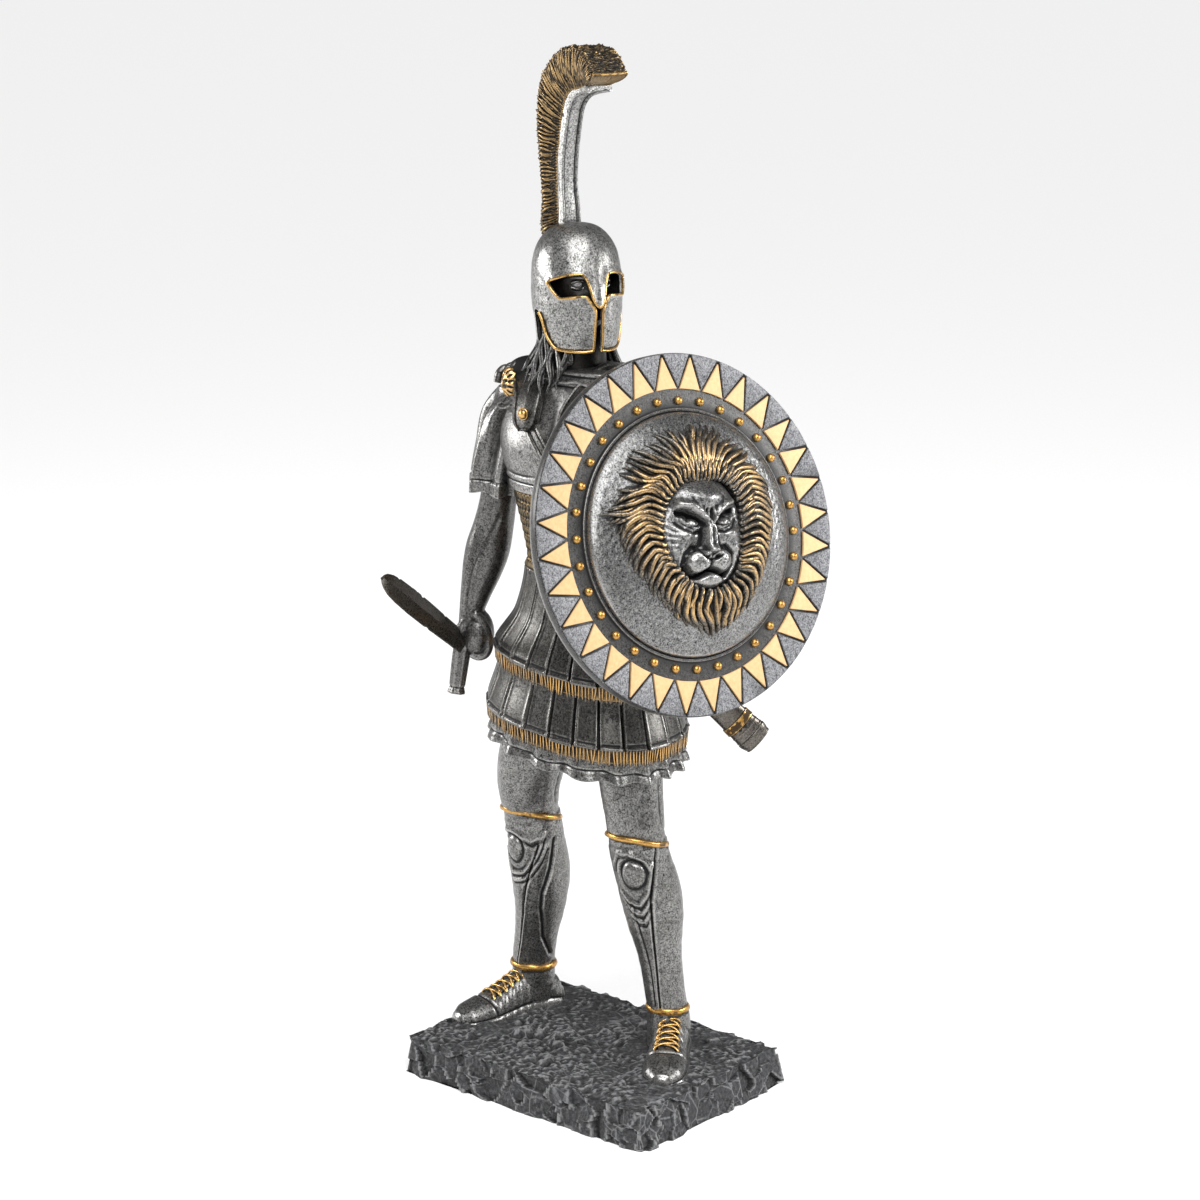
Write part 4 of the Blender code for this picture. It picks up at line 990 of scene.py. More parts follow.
def fringeRow(name, row, seed):
    # gold cords under the straps, side by side, each a little bent
    low, flare = row[0], row[2]
    luck = np.random.default_rng(seed)
    count = dressSizes["strips"] * dressSizes["fringePerStrip"]
    steps = 6
    share = np.linspace(0, 1, steps)
    angle = (np.arange(count) + 0.5) / count * fullTurn + luck.normal(size=count) * 0.002
    sway = luck.normal(size=(count, 1)) * 0.01 * share[None, :] ** 1.5
    length = dressSizes["fringeLong"] + luck.uniform(-0.35, 0.35, count)
    z = low + 0.5 - length[:, None] * share[None, :]
    lift = flare + 0.55 + luck.uniform(-0.15, 0.2, count)[:, None] - 0.35 * share[None, :]
    angles = angle[:, None] + sway
    anchor = onTorso(angles, low + 0 * z, lift)
    paths = anchor.copy()
    paths[..., 2] += z - low
    out = np.stack([np.cos(angles), np.sin(angles), 0 * angles], -1)
    width = 0.29 * (1 - 0.25 * share[None, :]) + luck.uniform(-0.03, 0.05, count)[:, None]
    cords = strands(name, paths, width, width * 1.15, out, sides=6)
    done(cords, fringePaint, "figure", crease=80, reach=0.3, full=0.12)
    # the dark backing that the cords lie on

    def place(across, along):
        turn = across * fullTurn
        wrap = along * fullTurn
        height = low + 0.9 - (0.5 - 0.5 * np.cos(wrap)) * (dressSizes["fringeLong"] - 0.2)
        ground = onTorso(turn, low + 0 * height, flare - 0.25 + 0.3 * np.sin(wrap))
        ground[:, 2] += height - low
        return ground
    backing = surface(name + "Backing", 264, 10, place)
    done(backing, hairPaint, "figure")


def makeWaist():
    low, high, scaleHigh, scalesRound = dressSizes["scales"]

    def place(across, along):
        angle = across * fullTurn
        z = low + along * high
        row = (z - low) / scaleHigh
        column = angle * scalesRound / fullTurn + 0.5 * (np.floor(row) % 2)
        column += 0.1 * np.sin(3 * row + 9 * angle)
        inRow, inColumn = row - np.floor(row), column - np.floor(column) - 0.5
        scale = np.sqrt(np.clip(1 - (2.15 * inColumn) ** 2 - (np.maximum(0.5 - inRow, 0) * 1.7) ** 2, 0, 1))
        lift = -0.45 + 0.95 * scale * (1.0 - 0.45 * inRow)
        belt = smooth(153.8, 154.8, z) * (1 - smooth(157.2, 158.2, z))
        lift = lift * (1 - belt) + belt * (0.9 + 0.25 * np.cos((z - 156) * 2.4))
        return onTorso(angle, z, lift)
    waist = surface("figureWaistScales", 620, 84, place)
    done(waist, scalePaint, "figure", reach=0.5, full=0.12)


def makeCuirass():
    edge = dressSizes["cuirassEdge"]

    def place(across, along):
        angle = across * fullTurn
        outer = np.clip((along - 0.04) / 0.96, 0, 1)
        rising = np.clip(outer / 0.93, 0, 1)
        closing = np.clip((outer - 0.93) / 0.07, 0, 1)
        z = edge + rising * (dressSizes["collar"] - edge) + 1.2 * closing
        lift = 1.4 * np.ones_like(z)
        lift += 0.22 * bump(z, edge + 1.0, 0.8)
        lift -= 0.55 * bump(z, edge + 3.2, 0.34) * (1 - bump(angle, 4.71, 0.2))
        # breast, breastbone and shoulder blades
        for centre in (4.23, 5.19):
            lift += 2.1 * bump(z, 196, 9.5) * bump(angle, centre, 0.4)
            lift -= 0.55 * bump(z, 186.6 + 5.0 * (angle - centre) ** 2, 0.8) * bump(angle, centre, 0.42)
        lift -= 0.7 * bump(angle, 4.71, 0.07) * bump(z, 199, 10)
        for centre in (1.18, 1.96):
            lift += 1.2 * bump(z, 200, 9) * bump(angle, centre, 0.36)
        lift -= 0.9 * bump(angle, 1.57, 0.1) * smooth(219, 205, z)
        # armholes: a rolled edge round each sleeve
        for centre in (3.14, 0.0, 6.283):
            reach = np.hypot((angle - centre) * 14.5, (z - 203) * 0.62)
            lift += 0.7 * bump(reach, 9.5, 0.9) - 0.5 * bump(reach, 8.0, 0.7)
        # collar, with the top closed in to the neck
        lift += 0.9 * bump(z, 216.6 + 0.3 * np.cos(14 * angle), 0.7)
        lift -= 0.5 * bump(z, 218.2, 0.5) + 0.5 * bump(z, 215.0, 0.4)
        under = np.clip(along / 0.04, 0, 1)
        return onTorso(angle, z, np.where(along < 0.04, -0.6 + 2.0 * under, lift), 1 - 0.62 * closing)
    cuirass = surface("figureCuirass", 380, 172, place)
    done(cuirass, chestPewterAndHighlight)


def makeBaldric():
    steps = 60
    share = np.linspace(0, 1, steps)
    bands = []
    for name, start, end in (("baldricFront", -2.15, -0.35), ("baldricBack", 2.45, 0.51)):
        angle = start + (end - start) * share
        z = 214 - 58 * share

        def place(across, along, angle=angle, z=z):
            turn = across * fullTurn
            a = np.interp(along, share, angle)
            height = np.interp(along, share, z)
            offset = np.clip(np.cos(turn) * 1.35, -1, 1) * 3.1
            top = np.sin(turn) > 0
            lift = np.where(top, 2.6, 0.2) + 0.35 * (top & (np.abs(offset) > 2.2))
            lift -= 0.3 * (top & (np.abs(np.abs(offset) - 1.75) < 0.25))
            chest = 1.8 * (bump(a, -2.05, 0.42) + bump(a, -1.09, 0.42)) * bump(height, 195, 9.5)
            return onTorso(a, height + offset, lift + chest)
        bands.append(surface(name, 44, 120, place))
    done(merged("figureBaldric", bands), strapPaint)


makeTunic()
strapRow("figureLowerStraps", dressSizes["lowerStraps"], 3)
strapRow("figureUpperStraps", dressSizes["upperStraps"], 5)
fringeRow("figureLowerFringe", dressSizes["lowerStraps"], 11)
fringeRow("figureUpperFringe", dressSizes["upperStraps"], 12)
makeWaist()
makeCuirass()
makeBaldric()
print("trunk dressed")


legSizes = {
    "right": {"axis": [(-15, 8, 112, 12, 12), (-23.6, 3.0, 96, 11.2, 11.8), (-27.2, 2.7, 84, 10.4, 10.7),
                       (-28.1, 4.6, 73, 8.9, 9.2), (-27.7, 6.3, 64, 8.5, 8.8), (-29.4, 10.2, 50, 8.3, 9.8),
                       (-31.0, 12.1, 38, 7.3, 8.6), (-33.5, 13.1, 27, 6.6, 7.1), (-35.5, 14.0, 18, 6.5, 6.7),
                       (-35.9, 14.3, 10, 6.4, 6.9), (-35.9, 13.8, 3, 6.0, 7.0)],
              "kneeRing": (-28.2, 4.7, 71.4, 9.5), "ankleRing": (-35.6, 14.0, 15.4, 7.1), "knee": (-14, 62.6),
              "lines": [([(48, 64), (30, 58), (16, 50), (6, 41), (0, 30), (-8, 16)], 0.9, 0.32),
                        ([(86, 64), (70, 55), (50, 46), (47, 40), (60, 29), (92, 22)], 1.1, 0.9)],
              "ridges": [([(-50, 60), (-20, 53.6), (14, 55.4), (44, 61.5), (62, 67)], 0.9),
                         ([(-44, 56), (-18, 50.6), (18, 53.0), (50, 59.5), (66, 64)], 0.7),
                         ([(-58, 66), (-30, 68.6), (0, 68.0), (34, 65.6), (56, 66.5)], 0.6)]},
    "left": {"axis": [(6, 9, 112, 12, 12), (10.2, 7.2, 98, 10.6, 10.6), (13.1, 5.7, 86, 9.9, 10.0),
                      (15.6, 4.9, 74, 9.1, 9.2), (16.6, 5.7, 66, 8.8, 9.0), (18.7, 7.6, 55, 8.7, 9.8),
                      (19.9, 8.9, 45, 8.0, 8.9), (21.1, 10.2, 33, 6.3, 6.9), (22.9, 11.2, 18, 5.9, 6.2),
                      (23.8, 11.6, 10, 6.3, 6.9), (23.8, 11.4, 3, 6.0, 7.0)],
             "kneeRing": (15.8, 5.0, 71.6, 9.5), "ankleRing": (23.4, 11.4, 15.4, 6.4), "knee": (22, 63.4),
             "lines": [([(78, 70), (66, 64), (52, 58), (44, 54), (33, 37), (24, 22), (21, 15)], 0.9, 0.34),
                       ([(8, 54), (10, 42), (12, 30), (8, 18)], 0.35, 0.5)],
             "ridges": [([(-14, 58.5), (4, 54.6), (24, 53.4), (46, 57.5), (62, 65)], 0.9),
                        ([(-8, 55.0), (6, 51.2), (24, 50.2), (44, 54.0)], 0.7),
                        ([(2, 50.0), (14, 47.6), (26, 47.2), (38, 50.2)], 0.5),
                        ([(-22, 66), (-6, 70.0), (20, 70.4), (44, 67.4), (54, 64)], 0.6)]}}


def legRelief(sizes):
    kneeAzimuth, kneeHeight = sizes["knee"]

    def relief(azimuth, z, inner):
        x = azimuth * 0.157
        lift = 0.38 * smooth(71.6, 70.2, z) - 0.2 * bump(z, 73.4, 1.0)
        # thigh muscles over the knee
        thigh = smooth(73, 80, z)
        lift += thigh * 0.6 * (bump(azimuth, 12, 26) * bump(z, 86, 10) - bump(azimuth, 104, 7))
        lift -= thigh * 0.55 * bump(azimuth, 58, 9) * bump(z, 82, 9)
        lift -= thigh * 0.5 * bump(azimuth, -48, 9) * bump(z, 80, 8)
        # kneecap with a dark ring cut round it
        gap = np.sqrt(((azimuth - kneeAzimuth) * 0.157 / 3.9) ** 2 + ((z - kneeHeight) / 4.3) ** 2)
        over = 0.3 + 0.7 * smooth(-2.0, 2.5, z - kneeHeight)
        lift += 1.15 * np.clip(1 - gap ** 2, 0, 1) ** 0.8 - 0.62 * over * bump(gap, 1.1, 0.17)
        lift += 0.25 * over * bump(gap, 1.4, 0.2)
        for line, depth, width in sizes["lines"]:
            lift -= depth * nearTo(x, z, [(a * 0.157, h) for a, h in line], width)
            lift += 0.25 * depth * nearTo(x - 0.9, z, [(a * 0.157, h) for a, h in line], 0.6)
        for line, height in sizes["ridges"]:
            lift += 0.72 * height * nearTo(x, z, [(a * 0.157, h) for a, h in line], 0.85)
            lift -= 0.5 * height * nearTo(x, z + 1.55, [(a * 0.157, h) for a, h in line], 0.5)
        # calf behind, shin in front
        lift += 0.7 * bump(azimuth, 120, 34) * bump(z, 48, 11)
        lift += 0.4 * bump(azimuth, -110, 34) * bump(z, 47, 11)
        lift += 0.35 * bump(azimuth, 2, 12) * smooth(56, 44, z)
        points = np.stack([x, z, 0 * x], 1)
        return lift + 0.05 * drift(points, 5.0, 31)
    return relief


def makeRing(name, middle, tube, tilt, flat=1.0):
    angle = np.linspace(0, fullTurn, 72, endpoint=False)
    x, y, z, radius = middle
    path = np.stack([x + radius * np.cos(angle), y + radius * np.sin(angle),
                     z - tilt * np.sin(angle) + soleLevel + 0.12 * np.sin(5 * angle)], 1)
    return bead(name, path, tube, out=(0, 0, 1), sides=14, flat=flat)


def makeLeg(side):
    sizes = legSizes[side]
    leg = limb("figure" + side.capitalize() + "Leg", sizes["axis"], 184, 300, relief=legRelief(sizes))
    done(leg, pewter)
    ring = makeRing("kneeRing", sizes["kneeRing"], 0.74, 2.6, 1.25)
    ankle = makeRing("ankleRing", sizes["ankleRing"], 0.74, 0.3, 1.55)
    rings = merged("figure" + side.capitalize() + "GreaveRings", [ring, ankle])
    done(rings, goldPaint, "figure")


makeLeg("right")
makeLeg("left")
print("legs made")


footStations = [(0.00, 2.6, 5.0), (0.06, 4.7, 9.5), (0.22, 5.9, 14.0), (0.42, 6.0, 13.0), (0.6, 6.6, 9.4),
                (0.76, 7.2, 7.2), (0.9, 6.2, 5.6), (0.98, 3.6, 3.8), (1.00, 2.0, 2.6)]
shoeSizes = {"right": ((-32.6, 24.2), (-44.2, -15.2)), "left": ((18.4, 22.0), (40.6, -13.0)), "laces": 5,
             "cord": 0.42, "rows": 150}


def shoePoint(side, share, angle, lift=0.0):
    heel, toe = [np.array(spot + (soleLevel,)) for spot in shoeSizes[side]]
    run = toe - heel
    across = unit(np.array([run[1], -run[0], 0]))
    share, angle, lift = np.broadcast_arrays(share, angle, lift)
    stations = np.array(footStations)
    row = follow(stations, np.interp(share, stations[:, 0], np.linspace(0, 1, len(stations))))
    wide = np.sign(np.cos(angle)) * np.abs(np.cos(angle)) ** 0.75
    high = np.maximum(np.sin(angle), 0) ** 0.8
    half, top = row[:, 1] + lift, row[:, 2] + lift
    return heel + run * share[:, None] + across * (half * wide)[:, None] + upward * (top * high)[:, None]


def makeShoe(side):
    def place(across, along):
        inner, ends = inset(along, shoeSizes["rows"])
        # the sole runs back underneath in the last quarter of the turn
        turn = across * 4 / 3
        angle = np.clip(turn, 0, 1) * math.pi
        sole = np.clip((turn - 1) * 3, 0, 1)
        height = np.sin(angle)
        lift = 0.3 * smooth(0.16, 0.06, height) - 0.4 * bump(height, 0.2, 0.035)
        lift -= 0.55 * bump(inner + 0.05 * np.cos(angle) ** 2, 0.745, 0.012) * smooth(0.1, 0.3, height)
        lift -= 0.45 * bump(inner - 0.1 * height, 0.16, 0.012) * smooth(0.15, 0.3, height)
        tongue = smooth(0.36, 0.4, inner) * smooth(0.72, 0.69, inner)
        gap = np.abs(angle - math.pi / 2)
        lift -= tongue * (0.75 * bump(gap, 0.36, 0.07) + 0.25 * (gap < 0.34))
        wrinkle = np.sin(inner * 90 + 4 * np.cos(angle))
        lift += 0.12 * wrinkle * smooth(0.3, 0.42, inner) * smooth(0.72, 0.6, inner) * (gap > 0.4)
        points = shoePoint(side, inner, angle, lift)
        under = shoePoint(side, inner, math.pi + 0 * angle) * (1 - sole)[:, None]
        under = under + shoePoint(side, inner, 0 * angle) * sole[:, None]
        points = np.where((turn > 1)[:, None], under, points)
        middle = shoePoint(side, inner, 0.5 * math.pi + 0 * angle)
        middle[:, 2] = soleLevel + (middle[:, 2] - soleLevel) * 0.45
        return np.where(ends[:, None], middle, points)
    shoe = surface("figure" + side.capitalize() + "Shoe", 132, shoeSizes["rows"], place)
    done(shoe, pewter)


def makeLaces(side):
    cords = []
    steps = 14
    share = np.linspace(0, 1, steps)
    for index in range(shoeSizes["laces"]):
        spot = 0.43 + 0.058 * index
        for hand in (-1, 1):
            # each lace crosses the tongue on a slant and is tucked in at both ends
            angle = math.pi / 2 + hand * (0.52 - 1.04 * share)
            along = spot + 0.03 * (share - 0.5) * 2
            lift = 0.45 + 0.25 * hand * np.sin(share * math.pi) - 0.8 * np.abs(share - 0.5) ** 3 * 8
            cords.append(shoePoint(side, along, angle, lift))
    laces = strands("figure" + side.capitalize() + "Laces", cords, shoeSizes["cord"], shoeSizes["cord"] * 0.8,
                    (0, 0, 1), sides=8)
    done(laces, goldPaint, "figure", crease=80)


for side in ("right", "left"):
    makeShoe(side)
    makeLaces(side)
print("shoes made")


armSizes = {"rightSleeve": [(-27.4, 5.2, 211.5, 9.6, 10.2), (-31.6, 4.0, 203, 10.5, 11.9),
                            (-33.6, 2.2, 193, 9.9, 12.1), (-35.0, 0.9, 183, 9.5, 11.6),
                            (-35.3, 0.6, 177.5, 9.4, 11.4)],
            "rightArm": [(-35, 1, 188, 6.0, 6.6), (-36.4, -0.4, 176, 5.4, 6.4), (-39.2, 0.2, 166, 6.0, 6.8),
                         (-40.8, -0.6, 158, 6.6, 7.0), (-42.4, -2.0, 151, 6.2, 6.4),
                         (-44.2, -3.4, 143, 4.8, 5.0), (-45.2, -4.2, 137, 3.9, 4.1),
                         (-45.5, -4.5, 130, 4.0, 4.2)],
            "leftSleeve": [(14.0, 6.5, 213, 8.5, 9.0), (19.5, 6.6, 205, 9.2, 10.6),
                           (23.2, 7.2, 196, 8.6, 10.4), (26.0, 8.4, 186, 8.4, 10.2),
                           (27.4, 9.2, 180, 8.6, 10.4)], "rightFist": (-46.0, -5.0, 129.4), "hemBand": 4.2}


def makeSleeve(name, table, phase):
    table = np.array(table, float)
    rows = 110

    def place(across, along):
        angle = across * fullTurn
        outer = np.clip(along / 0.86, 0, 1)
        inside = np.clip((along - 0.86) / 0.14, 0, 1)
        row = follow(table, outer)
        loose = smooth(0, 0.25, outer)
        fold = 1.25 * loose * np.cos(7 * angle + phase + 1.5 * np.sin(angle) + 1.2 * outer)
        fold += 0.45 * loose * np.cos(13 * angle + 2 * phase - 2.0 * outer)
        fold += 0.5 * np.sin(5 * angle + 9 * outer) * (1 - loose)
        hem = row[:, 2] - table[-1, 2]
        fold += 0.3 * smooth(armSizes["hemBand"], armSizes["hemBand"] - 0.6, hem)
        fold -= 0.4 * bump(hem, armSizes["hemBand"] + 0.2, 0.35)
        shrink = np.where(inside > 0, 1 - 0.1 - 0.75 * inside, 1) * np.where(along < 0.004, 0.0, 1.0)
        z = row[:, 2] + 5 * inside - 0.4 * np.cos(7 * angle + phase) * smooth(0.8, 1, outer)
        z = z - 0.14 * row[:, 3] * np.cos(angle - 0.7) * smooth(0.4, 1, outer)
        return np.stack([row[:, 0] + (row[:, 3] + fold) * shrink * np.cos(angle),
                         row[:, 1] + (row[:, 4] + fold) * shrink * np.sin(angle), z + soleLevel], 1)
    done(surface(name, 200, rows, place), pewter, full=0.12)


def armRelief(azimuth, z, inner):
    # biceps and forearm muscles, the elbow and the tendons
    lift = 0.55 * bump(azimuth, 40, 34) * bump(z, 180, 8) - 0.45 * bump(azimuth, 105, 16) * bump(z, 178, 9)
    lift += 0.6 * bump(azimuth, -50, 36) * bump(z, 158, 7) - 0.5 * bump(azimuth, 5, 13) * bump(z, 160, 10)
    lift -= 0.45 * nearTo(azimuth * 0.11, z, [(6, 172), (3, 162), (1, 150), (1.5, 140)], 0.6)
    return lift + 0.15 * bump(azimuth, 60, 20) * bump(z, 170, 2)


handSizes = {"right": np.array([0.766, 0.643, 0.0]), "near": np.array([0.643, -0.766, 0.0]),
             # the finger in front: sideways and up from the fist's middle, and its thickness
             "finger": [(2.0, 8.2, 1.6), (4.2, 5.4, 1.7), (6.0, 1.6, 1.75), (6.6, -2.4, 1.6),
                        (5.6, -5.4, 1.5), (3.2, -6.4, 1.4), (0.8, -5.4, 1.2)],
             "depths": (3.0, 0.0, -2.9, -5.4)}


def inHand(side, up, near):
    spot = np.array(armSizes["rightFist"]) + handSizes["right"] * side
    return spot + handSizes["near"] * near + (0, 0, up)


def makeRightArm():
    x, y, z = armSizes["rightFist"]
    parts = [limb("arm", armSizes["rightArm"], 60, 120, relief=armRelief),
             ball("palm", tuple(inHand(3.0, 0.6, -0.6)), (5.4, 6.4, 8.0), 40)]
    for k, depth in enumerate(handSizes["depths"]):
        shrink = 1 - 0.04 * k
        line = [tuple(inHand(a * shrink, b * shrink + 0.5 * k, depth)) + (c, c)
                for a, b, c in handSizes["finger"]]
        parts.append(limb("finger", line, 20, 50, reference=(0.643, -0.766, 0)))
    thumb = [tuple(inHand(-0.6, 4.6, 2.0)) + (1.9, 1.9), tuple(inHand(-2.6, 2.2, 2.6)) + (1.8, 1.7),
             tuple(inHand(-3.6, -0.8, 2.4)) + (1.5, 1.5), tuple(inHand(-3.4, -3.2, 2.0)) + (1.2, 1.2)]
    parts.append(limb("thumb", thumb, 20, 30))
    arm = fused("figureRightArm", parts, 0.42)
    done(arm, armPaintedShade, full=0.09)
    # the grip under the fist, worn flat at its end

    def gripRelief(azimuth, height, inner):
        return 0.12 * np.sin(azimuth * 0.12) + 0.35 * smooth(0.9, 0.96, inner) - 0.3 * bump(inner, 0.86, 0.02)
    grip = limb("figureSwordGrip", [(x - 0.8, y - 0.8, z + 1, 2.9, 2.9), (x - 1.9, y - 1.9, z - 9, 2.8, 2.8),
                                    (x - 2.7, y - 3.1, z - 19.0, 2.45, 2.45)], 40, 60, relief=gripRelief)
    done(grip, armPaintedShade)


def behindShield(right, up, depth):
    return tuple(np.array(shieldSizes["seat"]) + shieldRight * right + shieldUp * up - shieldOut * depth)


def makeLeftArm():
    elbow, middle = behindShield(17, -9, 6.4), behindShield(3, -4, 5.2)
    wrist, fist = behindShield(-13, 1, 4.6), behindShield(-21, 3, 5.0)
    upper = [(25, 7.5, 196, 6.2, 6.4), (28.5, 9.2, 183, 6.0, 6.2),
             (elbow[0] - 3.6, elbow[1] - 1.0, elbow[2] + 4.5, 6.0, 6.2),
             (elbow[0] - 0.6, elbow[1] + 0.6, elbow[2] - 1.0, 5.4, 5.6)]
    fore = [elbow + (5.6, 5.4), middle + (5.4, 4.9), wrist + (4.1, 4.0),
            behindShield(-19, 2.6, 4.6) + (3.6, 3.8)]
    parts = [limb("upperArm", upper, 48, 60), limb("foreArm", fore, 48, 90, reference=(0, 0, 1)),
             ball("fist", fist, (3.9, 5.2, 5.0), shieldSizes["azimuth"] - 90)]
    for k in range(4):
        # fingers close round a short grip, across the palm
        line = [behindShield(-19.5 - 1.2 * j, 7.2 - 3.3 * k - 0.3 * j, 4.0 + 4.9 * math.sin(0.75 * j))
                + (1.75, 1.7) for j in range(5)]
        parts.append(limb("finger", line, 18, 30, reference=(0, 0, 1)))
    arm = fused("figureLeftArm", parts, 0.45)
    done(arm, armPaintedShade, full=0.09)
    # the broad band that holds the forearm to the shield, with a rolled edge on both sides

    def bandRelief(azimuth, height, inner):
        edges = bump(inner, 0.06, 0.05) + bump(inner, 0.94, 0.05)
        return 0.5 * edges - 0.25 * (bump(inner, 0.16, 0.03) + bump(inner, 0.84, 0.03))
    band = limb("figureArmBand", [behindShield(-3.5, -4.2, 4.2) + (6.9, 5.9),
                                  behindShield(3.0, -5.3, 4.2) + (7.1, 6.1),
                                  behindShield(9.5, -6.4, 4.2) + (6.9, 5.9)], 90, 60, reference=(0, 0, 1),
                relief=bandRelief)
    heldFlat(band, -0.15)
    done(band, strapPaint)


def heldFlat(piece, depth):
    # what would pass through the shield's back is pressed flat against it
    spots = spotsOf(piece.data) / millimetre
    seat = np.array(shieldSizes["seat"]) + (0, 0, soleLevel)
    past = np.maximum((spots - seat) @ shieldOut - depth, 0)
    moveTo(piece.data, spots - past[:, None] * shieldOut)


def makePleats():
    # gathered cloth on top of the right shoulder
    folds = []
    for index in range(6):
        share = index / 5
        x, y, z = -32.2 + 7.6 * share, -2.6 + 6.4 * share, 214.9 + 3.4 * share
        line = [(x + 2.2, y + 3.2, z + 0.6, 0.8, 0.8), (x + 1.0, y + 1.4, z + 2.0, 1.25, 1.3),
                (x, y, z + 1.9, 1.35, 1.35), (x - 0.7, y - 1.3, z + 0.4, 1.3, 1.3),
                (x - 0.9, y - 2.0, z - 2.2, 1.15, 1.15)]
        folds.append(limb("fold", line, 20, 26))
    cloth = limb("cloth", [(-24.0, 5.2, 214.0, 7.4, 5.6), (-27.6, 1.8, 214.2, 6.4, 4.6),
                           (-31.4, -0.6, 211.4, 4.6, 4.0)], 40, 30)
    done(merged("figureShoulderPleats", folds + [cloth]), strapPaint)


makePleats()
makeSleeve("figureRightSleeve", armSizes["rightSleeve"], 0.4)
makeSleeve("figureLeftSleeve", armSizes["leftSleeve"], 1.9)
makeRightArm()
makeLeftArm()
heldFlat(bpy.data.objects["figureLeftArm"], -0.1)
print("arms made")


flapSizes = {"line": [(12.5, 23.0, 196, 6.0), (14.5, 19.0, 208, 7.5), (17.0, 12.0, 217.0, 9.4),
                      (17.2, 5.0, 219.2, 10.0), (14.8, -2.5, 216.8, 8.4), (11.4, -8.4, 212.6, 5.8),
                      (9.5, -12.0, 207.6, 5.0), (9.0, -13.0, 204.0, 4.2), (8.9, -13.3, 201.6, 1.8)],
             "thick": 2.6, "rows": 120,
             "section": [(-1, -1), (-1.02, 0.2), (-0.98, 0.85), (-0.9, 1.05), (-0.82, 0.85), (-0.78, 0.5),
                         (-0.6, 0.52), (-0.3, 0.62), (0, 0.66), (0.3, 0.62), (0.6, 0.52), (0.78, 0.5),
                         (0.82, 0.85), (0.9, 1.05), (0.98, 0.85), (1.02, 0.2), (1, -1), (-1, -1)]}


def makeFlap(name, side):
    line = np.array(flapSizes["line"], float)
    section = np.array(flapSizes["section"])

    def place(across, along):
        inner, ends = inset(along, flapSizes["rows"])
        row = follow(line, inner)
        run = follow(line, inner + 0.012) - follow(line, inner - 0.012)
        run = unit(np.stack([0 * run[:, 1], run[:, 1], run[:, 2]], 1))
        out = np.stack([0 * run[:, 0], run[:, 2], -run[:, 1]], 1)
        out = np.where(((out[:, 2] < 0) & (row[:, 2] > 212))[:, None], -out, out)
        a, lift = onSection(section, across)
        rim = smooth(0.955, 0.975, inner) * (np.abs(a) < 0.85) * (lift > 0)
        lift = lift + 0.45 * rim
        a = np.where(ends, 0, a)
        lift = np.where(ends, 0, lift)
        middle = np.stack([-5 + side * row[:, 0], row[:, 1], row[:, 2]], 1)
        slope = np.stack([side * a * row[:, 3], 0 * a, -np.abs(a) * 0.5 - 0.18 * a * row[:, 3]], 1)
        return middle + slope + out * (lift * flapSizes["thick"] * 0.5)[:, None] + np.array([0, 0, soleLevel])
    flap = surface(name, 17 * 5, flapSizes["rows"], place)
    done(flap, strapPaint, crease=60, full=0.11)


def makeShoulderTrim():
    rivets = []
    for x, y, z in ((-14.2, -14.2, 206.4), (4.2, -14.2, 206.4)):
        rivets.append(ball("rivet", (x, y, z), (1.35, 0.9, 1.35)))
        turn = np.linspace(0, fullTurn, 24, endpoint=False)
        path = np.stack([x + 1.75 * np.cos(turn), y + 0.25 + 0 * turn,
                         z + soleLevel + 1.75 * np.sin(turn)], 1)
        rivets.append(bead("rivetRing", path, 0.22, out=(0, -1, 0), sides=6))
    done(merged("figureFlapRivets", rivets), goldPaint, "figure")
    # the yoke's front edge beside the flap
    edge = follow([(-31.5, -5.5, 206.6), (-28.0, -9.0, 206.2), (-24.0, -11.4, 206.8), (-20.4, -12.6, 208.2)],
                  np.linspace(0, 1, 30)) + np.array([0, 0, soleLevel])
    done(bead("figureYokeEdge", edge, 0.5, looped=False), strapPaint)
    # small lion's mask on the right shoulder
    middle = np.array([-27.6, -4.4, 213.4])
    front, side = heading(-24), np.array([math.cos(math.radians(24)), -math.sin(math.radians(24)), 0])

    def place(across, along):
        turn, reach = across * fullTurn, along
        u, v = 3.5 * reach * np.cos(turn), 4.7 * reach * np.sin(turn)
        rise = 2.6 * np.sqrt(np.clip(1 - reach ** 2, 0, 1))
        rise += 0.4 * np.cos(13 * turn) * smooth(0.55, 0.8, reach)
        rise += 0.7 * np.exp(-(u / 0.9) ** 2 - ((v + 0.6) / 1.5) ** 2)
        rise += 0.5 * np.exp(-(u / 1.6) ** 2 - ((v + 1.9) / 0.7) ** 2)
        for hand in (-1, 1):
            rise -= 0.7 * np.exp(-((u - hand * 1.2) / 0.55) ** 2 - ((v - 0.9) / 0.45) ** 2)
        return (middle + (0, 0, soleLevel)) + u[:, None] * side + v[:, None] * upward + rise[:, None] * front
    mask = surface("figureShoulderMask", 78, 40, place)
    done(mask, maskPaint, "figure", reach=0.5)


